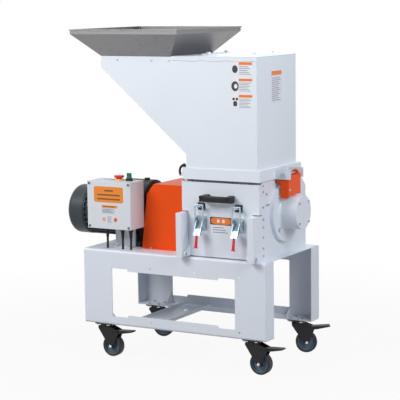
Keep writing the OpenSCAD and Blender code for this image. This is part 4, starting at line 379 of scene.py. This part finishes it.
# New pieces, each a grid of points worked out at once
def grid(name, points, finish):
    # points is rows x columns x 3, in mm, and its last column meets its first; each little square becomes a face
    rows, columns = points.shape[:2]
    i, j = [a.ravel() for a in np.meshgrid(np.arange(rows - 1), np.arange(columns), indexing="ij")]
    after = (j + 1) % columns
    faces = np.stack([i * columns + j, (i + 1) * columns + j, (i + 1) * columns + after, i * columns + after], 1)
    mesh = bpy.data.meshes.new(name)
    mesh.from_pydata(points.reshape(-1, 3) * mm, [], faces.tolist())
    mesh.materials.append(finish)
    item = bpy.data.objects.new(name, mesh)
    bpy.context.scene.collection.objects.link(item)
    return item


def circle(count):
    # The angles of points spaced evenly round a circle
    return np.linspace(0, 2 * np.pi, count, endpoint=False)


def surface(name, points, finish, body, unwrapped=None):
    # A grid that rides on a body, with unwrapped as its UV map where one is given
    piece = grid(name, points, finish)
    if unwrapped is not None:
        mesh = piece.data
        loops = np.empty(len(mesh.loops), np.int32)
        mesh.loops.foreach_get("vertex_index", loops)
        mesh.uv_layers.new(name="UVMap").data.foreach_set("uv", unwrapped.reshape(-1, 2)[loops].ravel())
    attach(piece, body)
    return piece


# Every label is a thin plate; a ring is (share of its half size, share of its thickness)
plates = {"points": 96, "squareness": 14.0, "thick": 0.3,
          "rings": [(0.002, 1.0), (0.25, 1.0), (0.5, 1.0), (0.75, 1.0), (0.97, 1.0), (1.0, 0.7), (1.0, -0.3)]}


def plate(name, centre, across, up, size, finish, body):
    # A flat plate with rounded corners: rings of a superellipse |a|^n + |b|^n = 1 from the middle to the rim,
    # then down its edge to the back, so that it lies on what carries it
    t = circle(plates["points"])
    a, b = (np.sign(wave) * np.abs(wave) ** (2 / plates["squareness"]) for wave in (np.cos(t), np.sin(t)))
    across, up = np.array(across, float), np.array(up, float)
    scale, lift = np.array(plates["rings"]).T
    points = (np.array(centre, float) + (scale[:, None] * a)[..., None] * across * size[0] / 2
              + (scale[:, None] * b)[..., None] * up * size[1] / 2
              + (lift * plates["thick"])[:, None, None] * np.cross(across, up))
    uv = np.stack([0.5 + scale[:, None] * a * 0.5, 0.5 + scale[:, None] * b * 0.5], -1)
    return surface(name, points, finish, body, uv)


# Labels, all generic: a coloured band, ruled lines and a plain shape. Places on a label are shares of its size:
# patches are (left, right, low, high, colour), rules (left, right, low, high, count, colour) and dots
# (middle u, middle v, reach u, reach v, roundness, colour)
printing = {"rough": 0.32, "coat": 0.2, "toneCloud": (30.0, 2.0), "toneShare": 0.4, "toneDrop": 0.94,
            "ragStep": 0.381, "ragStart": 0.2, "ragShare": 0.35, "line": (0.28, 0.68), "inkShare": 0.8,
            "roughBase": 0.3, "roughCloud": (50.0, 3.0), "roughSway": 0.12}


def labelFinish(name, values):
    # Ragged line ends: each row stops short by a share that steps on from row to row and wraps at 1
    f = Finish(name, printing["rough"], coat=printing["coat"])
    u, v, _ = f.axes(f.wire("ShaderNodeTexCoord", output="UV"))
    tone = f.blend(f.cloud(*printing["toneCloud"]) * printing["toneShare"], values["ground"],
                   tuple(c * printing["toneDrop"] for c in values["ground"]))
    for left, right, low, high, colour in values.get("patches", []):
        tone = f.blend(u.between(left, right) * v.between(low, high), tone, colour)
    for left, right, low, high, count, colour in values.get("rules", []):
        row = (v - low) / (high - low) * count
        ragged = (row.floor() * printing["ragStep"] + printing["ragStart"]).fract() * (right - left)
        lines = (row.fract().between(*printing["line"]) * (u > left) * (u + ragged * printing["ragShare"] < right)
                 * v.between(low, high))
        tone = f.blend(lines * printing["inkShare"], tone, colour)
    for cu, cv, ru, rv, power, colour in values.get("dots", []):
        reach = ((u - cu) / ru).size() ** power + ((v - cv) / rv).size() ** power
        tone = f.blend(reach < 1.0, tone, colour)
    return f.send(Base_Color=tone,
                  Roughness=printing["roughBase"] + f.cloud(*printing["roughCloud"]) * printing["roughSway"])


ink, orangeInk, paper = (0.02, 0.022, 0.03), (0.87, 0.20, 0.012), (0.84, 0.86, 0.9)
greyInk, boxGround = (0.16, 0.18, 0.25), (0.74, 0.775, 0.82)
hopperSign = {"size": (91, 53), "body": "hopper", "ground": paper, "patches": [(0.37, 0.99, 0.80, 0.99, orangeInk)]}
labels = {
    "hopperLabelTop": {**hopperSign, "centre": (303.5, -219.5, 1155),
                       "rules": [(0.39, 0.97, 0.10, 0.74, 5, greyInk)], "dots": [(0.2, 0.5, 0.13, 0.27, 2.0, ink)]},
    "hopperLabelMiddle": {**hopperSign, "centre": (303.5, -219.5, 1094.5),
                          "rules": [(0.39, 0.97, 0.08, 0.74, 6, greyInk)],
                          "dots": [(0.2, 0.45, 0.17, 0.35, 2.0, ink), (0.23, 0.45, 0.08, 0.16, 2.0, paper)]},
    "hopperLabelBottom": {**hopperSign, "centre": (303.5, -219.5, 1034.5),
                          "rules": [(0.39, 0.97, 0.06, 0.74, 7, greyInk)],
                          "dots": [(0.13, 0.68, 0.06, 0.1, 2.0, ink), (0.28, 0.68, 0.06, 0.1, 2.0, ink),
                                   (0.2, 0.36, 0.09, 0.18, 4.0, ink)]},
    "hopperSideLabel": {"centre": (367, -58, 1083), "across": (0, 1, 0), "size": (86, 122), "body": "hopper",
                        "ground": (0.78, 0.8, 0.86), "patches": [(0.01, 0.99, 0.86, 0.99, orangeInk)],
                        "rules": [(0.05, 0.9, 0.06, 0.8, 12, greyInk)]},
    "doorLabel": {"centre": (209, -217, 580.5), "size": (94, 30), "body": "front_door", "ground": ink,
                  "dots": [(0.5, 0.5, 0.45, 0.43, 4.0, orangeInk), (0.38, 0.5, 0.06, 0.2, 3.0, paper),
                           (0.62, 0.5, 0.06, 0.2, 3.0, paper)]},
    "doorRules": {"centre": (209, -217, 546), "size": (84, 34), "body": "front_door", "ground": (0.82, 0.84, 0.89),
                  "rules": [(0.08, 0.92, 0.10, 0.92, 3, greyInk)]},
    "boxOrangeLabel": {"centre": (-288, -228, 655.5), "size": (136, 63), "body": "machine",
                       "ground": (0.87, 0.25, 0.012),
                       "rules": [(0.36, 0.68, 0.62, 0.88, 1, ink), (0.12, 0.95, 0.36, 0.60, 1, ink),
                                 (0.12, 0.95, 0.10, 0.34, 1, ink)]},
    "boxHeadLabel": {"centre": (-284.5, -228, 608), "size": (73, 11), "body": "machine",
                     "ground": (0.87, 0.28, 0.02), "rules": [(0.1, 0.9, 0.1, 0.9, 1, ink)]},
    "boxGreyLabel": {"centre": (-290, -228, 591), "size": (60, 20), "body": "machine",
                     "ground": (0.56, 0.58, 0.66), "rules": [(0.05, 0.95, 0.1, 0.9, 4, greyInk)]},
    "boxMarkLeft": {"centre": (-310, -228, 557), "size": (18, 18), "body": "machine", "ground": boxGround,
                    "dots": [(0.5, 0.5, 0.4, 0.42, 2.0, orangeInk), (0.5, 0.5, 0.14, 0.16, 2.0, paper)]},
    "boxMarkMiddle": {"centre": (-284, -228, 557), "size": (24, 32), "body": "machine",
                      "ground": (0.68, 0.71, 0.76), "rules": [(0.1, 0.9, 0.1, 0.9, 6, greyInk)]},
    "boxMarkRight": {"centre": (-257, -228, 557), "size": (20, 20), "body": "machine", "ground": boxGround,
                     "dots": [(0.5, 0.5, 0.44, 0.44, 2.0, orangeInk), (0.5, 0.5, 0.16, 0.16, 2.0, ink)]},
}
for name, values in labels.items():
    piece = plate(name, values["centre"], values.get("across", (1, 0, 0)), (0, 0, 1), values["size"],
                  labelFinish(name + "Finish", values), values["body"])
print("labels made:", len(labels))

# Axle nuts on the forks: a ring is (radius, height above the fork's face)
nuts = {"rings": [(6.6, -0.4), (6.6, 3.4), (6.0, 4.2), (4.0, 4.3), (3.9, 6.0), (3.2, 7.0), (1.8, 7.6), (0.01, 7.8)],
        "points": 36, "flats": 6, "seatRadius": 9.0}


def nut(name, place, axis, body):
    # The rings carried round an axis. A ring is a polygon by dividing its radius by the cosine of the angle from
    # the middle of the nearest flat, and turns into a circle towards the tip
    side = np.cross(axis, (0.1, 0.2, 1.0))  # any way that isn't the axis does here
    side /= np.linalg.norm(side)
    t = circle(nuts["points"])
    half = np.pi / nuts["flats"]
    polygon = np.cos(half) / np.cos((t % (2 * half)) - half)
    radius, height = np.array(nuts["rings"], float).T
    flat = np.linspace(1, 0, len(radius))[:, None] ** 0.5
    reach = radius[:, None] * (polygon * flat + (1 - flat))
    points = (place + reach[..., None] * (np.cos(t)[:, None] * side + np.sin(t)[:, None] * np.cross(axis, side))
              + height[:, None, None] * axis)
    return surface(name, points, finishes["boltSteel"], body)


for corner in corners:
    hub, axle, ahead = wheelAxes(corner)
    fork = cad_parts["fork_" + corner].data
    spots = np.empty(len(fork.vertices) * 3)
    fork.vertices.foreach_get("co", spots)
    spots = spots.reshape(-1, 3) / mm - hub
    along, across = spots @ axle, np.hypot(spots @ ahead, spots[:, 2])
    for side, way in (("Outer", -1), ("Inner", 1)):
        face = (along[across < nuts["seatRadius"]] * way).max()
        nut(f"axleNut{side}_{corner}", hub + axle * way * face, axle * way, "fork_" + corner)
print("forks dressed")


uvStep = 50  # mm of a tube's length for each 1 of its UV map


def tube(name, path, radius, finish, body, sides):
    # Circles of the given radius round a path, square to its direction; both ends close to a point
    path = np.asarray(path, float)
    ahead = np.gradient(path, axis=0)
    ahead /= np.linalg.norm(ahead, axis=1)[:, None]
    # Parallel frame: each side vector is the last one with its part along the path taken out
    side = np.zeros_like(path)
    before = np.array((0.3, 0.2, 0.9))
    for k, way in enumerate(ahead):
        swung = np.cross(way, before) if k == 0 else before - way * np.dot(before, way)
        before = side[k] = swung / np.linalg.norm(swung)
    path, side, ahead = (np.vstack([rows[:1], rows, rows[-1:]]) for rows in (path, side, ahead))
    radius = np.pad(np.broadcast_to(radius, len(path) - 2), 1, constant_values=0.001)
    t = circle(sides)
    points = path[:, None] + radius[:, None, None] * (np.cos(t)[:, None] * side[:, None]
                                                      + np.sin(t)[:, None] * np.cross(ahead, side)[:, None])
    length = np.concatenate([[0], np.cumsum(np.linalg.norm(np.diff(path, axis=0), axis=1))])
    uv = np.stack(np.broadcast_arrays(t[None] / (2 * np.pi), length[:, None] / uvStep), -1)
    piece = surface(name, points, finishes[finish], body, uv)
    piece.data.polygons.foreach_set("use_smooth", [True] * len(piece.data.polygons))
    return piece


# Bead of sealant along the hopper lid's front edge: a thin wavy tube
bead = {"fromX": 8.0, "toX": 360.0, "y": -219.6, "z": 1183.6, "waves": 3.5, "sway": 1.3, "ripple": 0.5,
        "rippleRate": 41.0, "radius": 0.9, "points": 90, "sides": 8}
share = np.linspace(0, 1, bead["points"])
x = bead["fromX"] + (bead["toX"] - bead["fromX"]) * share
wave = bead["sway"] * np.sin(share * bead["waves"] * 2 * np.pi) + bead["ripple"] * np.sin(share * bead["rippleRate"])
sealantBead = tube("sealantBead", np.stack([x, np.full_like(x, bead["y"]), bead["z"] + wave], 1),
                   bead["radius"], "greyPlastic", "hopper", bead["sides"])

# Cables: straight legs joined by quarter circles, with a slight sag in the level runs under the deck
cables = {"diameter": 9.0, "bend": 36.0, "sag": 4.0, "points": 9, "sides": 20, "shortLeg": 24.0, "touch": 0.5,
          "routes": {
              "cableMotorLeft": [(-320, -190, 525), (-320, -190, 396.7), (-392.8, -190, 396.7),
                                 (-392.8, 107.5, 396.7), (-392.8, 107.5, 526)],
              "cableMotorRight": [(-249, -190, 525), (-249, -190, 383.2), (-249, -46, 383.2),
                                  (-359.2, -46, 383.2), (-359.2, 107.5, 383.2), (-359.2, 107.5, 526)],
              "cableMains": [(-211, -190, 525), (-211, -190, 396.7), (-211, 214, 396.7)]}}


def route(turns, bend):
    # Each turn becomes an arc about the point that lies one bend back and one bend on
    turns = [np.array(c, float) for c in turns]
    steps = [b - a for a, b in zip(turns, turns[1:])]
    ways = [s / np.linalg.norm(s) for s in steps]
    points = [turns[0]]
    angle = np.linspace(0, np.pi / 2, cables["points"])[:, None]
    share = np.linspace(0, 1, cables["points"])[1:, None]
    for turn, before, after in zip(turns[1:-1], ways, ways[1:]):
        start = turn - before * bend
        arc = start + np.sin(angle) * bend * before + (1 - np.cos(angle)) * bend * after
        gap = start - points[-1]
        if np.linalg.norm(gap) > cables["shortLeg"]:
            straight = points[-1] + gap * share[:-1]
            if abs(gap[2]) < 1:
                straight = straight - np.sin(np.pi * share[:-1]) ** 2 * (0, 0, cables["sag"])
            points.extend(straight)
        points.extend(arc if np.linalg.norm(gap) > cables["touch"] else arc[1:])
    points.extend(points[-1] + (turns[-1] - points[-1]) * share)
    return np.array(points)


for name, turns in cables["routes"].items():
    path = route(turns, cables["bend"])
    piece = tube(name, path, cables["diameter"] / 2, "cableRubber", "machine", cables["sides"])
    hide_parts("cables")

# Ribbed strain reliefs under the control box, one round each cable
boots = {"top": 506.0, "length": 26.0, "wide": 7.4, "narrow": 5.4, "ribs": 4, "groove": 0.6, "grooveFrom": 0.4,
         "collarShare": 0.08, "points": 61, "sides": 24}
share = np.linspace(0, 1, boots["points"])
grooves = (np.cos(share * boots["ribs"] * 2 * np.pi) > boots["grooveFrom"]) * (share > boots["collarShare"])
ribbed = boots["wide"] + (boots["narrow"] - boots["wide"]) * share - boots["groove"] * grooves
for number, turns in enumerate(cables["routes"].values(), 1):
    cx, cy = turns[0][:2]
    path = np.stack([np.full_like(share, cx), np.full_like(share, cy), boots["top"] - boots["length"] * share], 1)
    tube(f"strainRelief{number}", path, ribbed, "blackPlastic", "machine", boots["sides"])
print("cables laid")

# Camera at the photograph's angle
camera = {"lens": 135.0, "sensor": 36.0, "clip": 100.0, "azimuth": 29.6, "elevation": 7.84, "roll": -0.7,
          "distance": 5972.0, "target": (-12.6, 15.0, 619.7)}
azimuth, elevation, roll = (math.radians(camera[k]) for k in ("azimuth", "elevation", "roll"))
away = np.array([math.sin(azimuth) * math.cos(elevation), -math.cos(azimuth) * math.cos(elevation),
                 math.sin(elevation)])
level = np.cross(-away, (0, 0, 1))
level /= np.linalg.norm(level)
upright = np.cross(level, -away)
right = level * math.cos(roll) + upright * math.sin(roll)
up = upright * math.cos(roll) - level * math.sin(roll)
lens = bpy.data.cameras.new("photoCamera")
lens.lens, lens.sensor_width, lens.clip_end = camera["lens"], camera["sensor"], camera["clip"]
viewer = bpy.data.objects.new("photoCamera", lens)
bpy.context.scene.collection.objects.link(viewer)
spot = (np.array(camera["target"]) + away * camera["distance"]) * mm
viewer.matrix_world = Matrix([[right[i], up[i], away[i], spot[i]] for i in range(3)] + [[0, 0, 0, 1]])
bpy.context.scene.camera = viewer

# Soft studio light, in metres and watts
lamps = {
    "leftSoftbox": {"place": (-1.3, -2.5, 2.5), "width": 1.8, "height": 1.4, "power": 74.0,
                    "colour": (1.0, 0.99, 0.98)},
    "rightSoftbox": {"place": (2.7, -0.9, 2.1), "width": 1.6, "height": 1.6, "power": 46.0,
                     "colour": (0.94, 0.965, 1.0)},
    "topSoftbox": {"place": (0.2, 0.2, 3.2), "width": 1.8, "height": 1.8, "power": 34.0,
                   "colour": (1.0, 1.0, 1.0)},
}
lampTarget = np.array((0.0, 0.0, 0.62))
for name, values in lamps.items():
    light = bpy.data.lights.new(name, "AREA")
    light.shape, light.size, light.size_y = "RECTANGLE", values["width"], values["height"]
    light.energy, light.color = values["power"], values["colour"]
    lamp = bpy.data.objects.new(name, light)
    bpy.context.scene.collection.objects.link(lamp)
    lamp.location = values["place"]
    toward = lampTarget - np.array(values["place"])
    lamp.rotation_euler = (math.atan2(math.hypot(toward[0], toward[1]), -toward[2]), 0.0,
                           math.atan2(toward[1], toward[0]) - math.pi / 2)

sky = {"light": (0.86, 0.93, 1.0), "strength": 0.20}
world = bpy.data.worlds.new("studio")
bpy.context.scene.world = world
air = Nodes(world)
soft = air.wire("ShaderNodeBackground", {}, {0: (*sky["light"], 1), 1: sky["strength"]})
white = air.wire("ShaderNodeBackground", {}, {0: (1, 1, 1, 1), 1: 1.0})
both = air.wire("ShaderNodeMixShader", {}, {0: air.seenRay(), 1: soft, 2: white})
air.add("ShaderNodeOutputWorld", {}, {0: both})

# Pale floor that fades into the white background and keeps the shadow near the wheels
ground = {"rings": [0.001, 1.0, 3.0, 8.0, 30.0], "points": 64, "drop": -0.4, "rough": 0.7, "clearShare": 0.93,
          "fade": (0.7, 2.4), "cloud": (2.0, 3.0), "cloudShare": 0.3, "pale": (0.32, 0.32, 0.33),
          "dim": (0.29, 0.29, 0.30)}
f = Finish("floorFinish", ground["rough"])
fx, fy, _ = f.axes(f.place)
reach = (fx * fx + fy * fy) ** 0.5
clear = f.seenRay() * (ground["clearShare"] + reach.eased(*ground["fade"]) * (1 - ground["clearShare"]))
shine = f.wire("ShaderNodeEmission", {}, {0: (1, 1, 1, 1), 1: 1.0})
join = f.wire("ShaderNodeMixShader", {}, {0: clear, 1: Wire(f, f.shader.outputs[0]), 2: shine})
f.tree.links.new(join.socket, f.result.inputs[0])
f.send(Base_Color=f.blend(f.cloud(*ground["cloud"]) * ground["cloudShare"], ground["pale"], ground["dim"]))
t = circle(ground["points"])
rings = np.array(ground["rings"])[:, None] / mm
floor = grid("floor", np.stack(np.broadcast_arrays(rings * np.cos(t), rings * np.sin(t), ground["drop"]), -1),
             f.material)

bpy.context.scene.view_settings.view_transform = "Standard"
print("studio set")
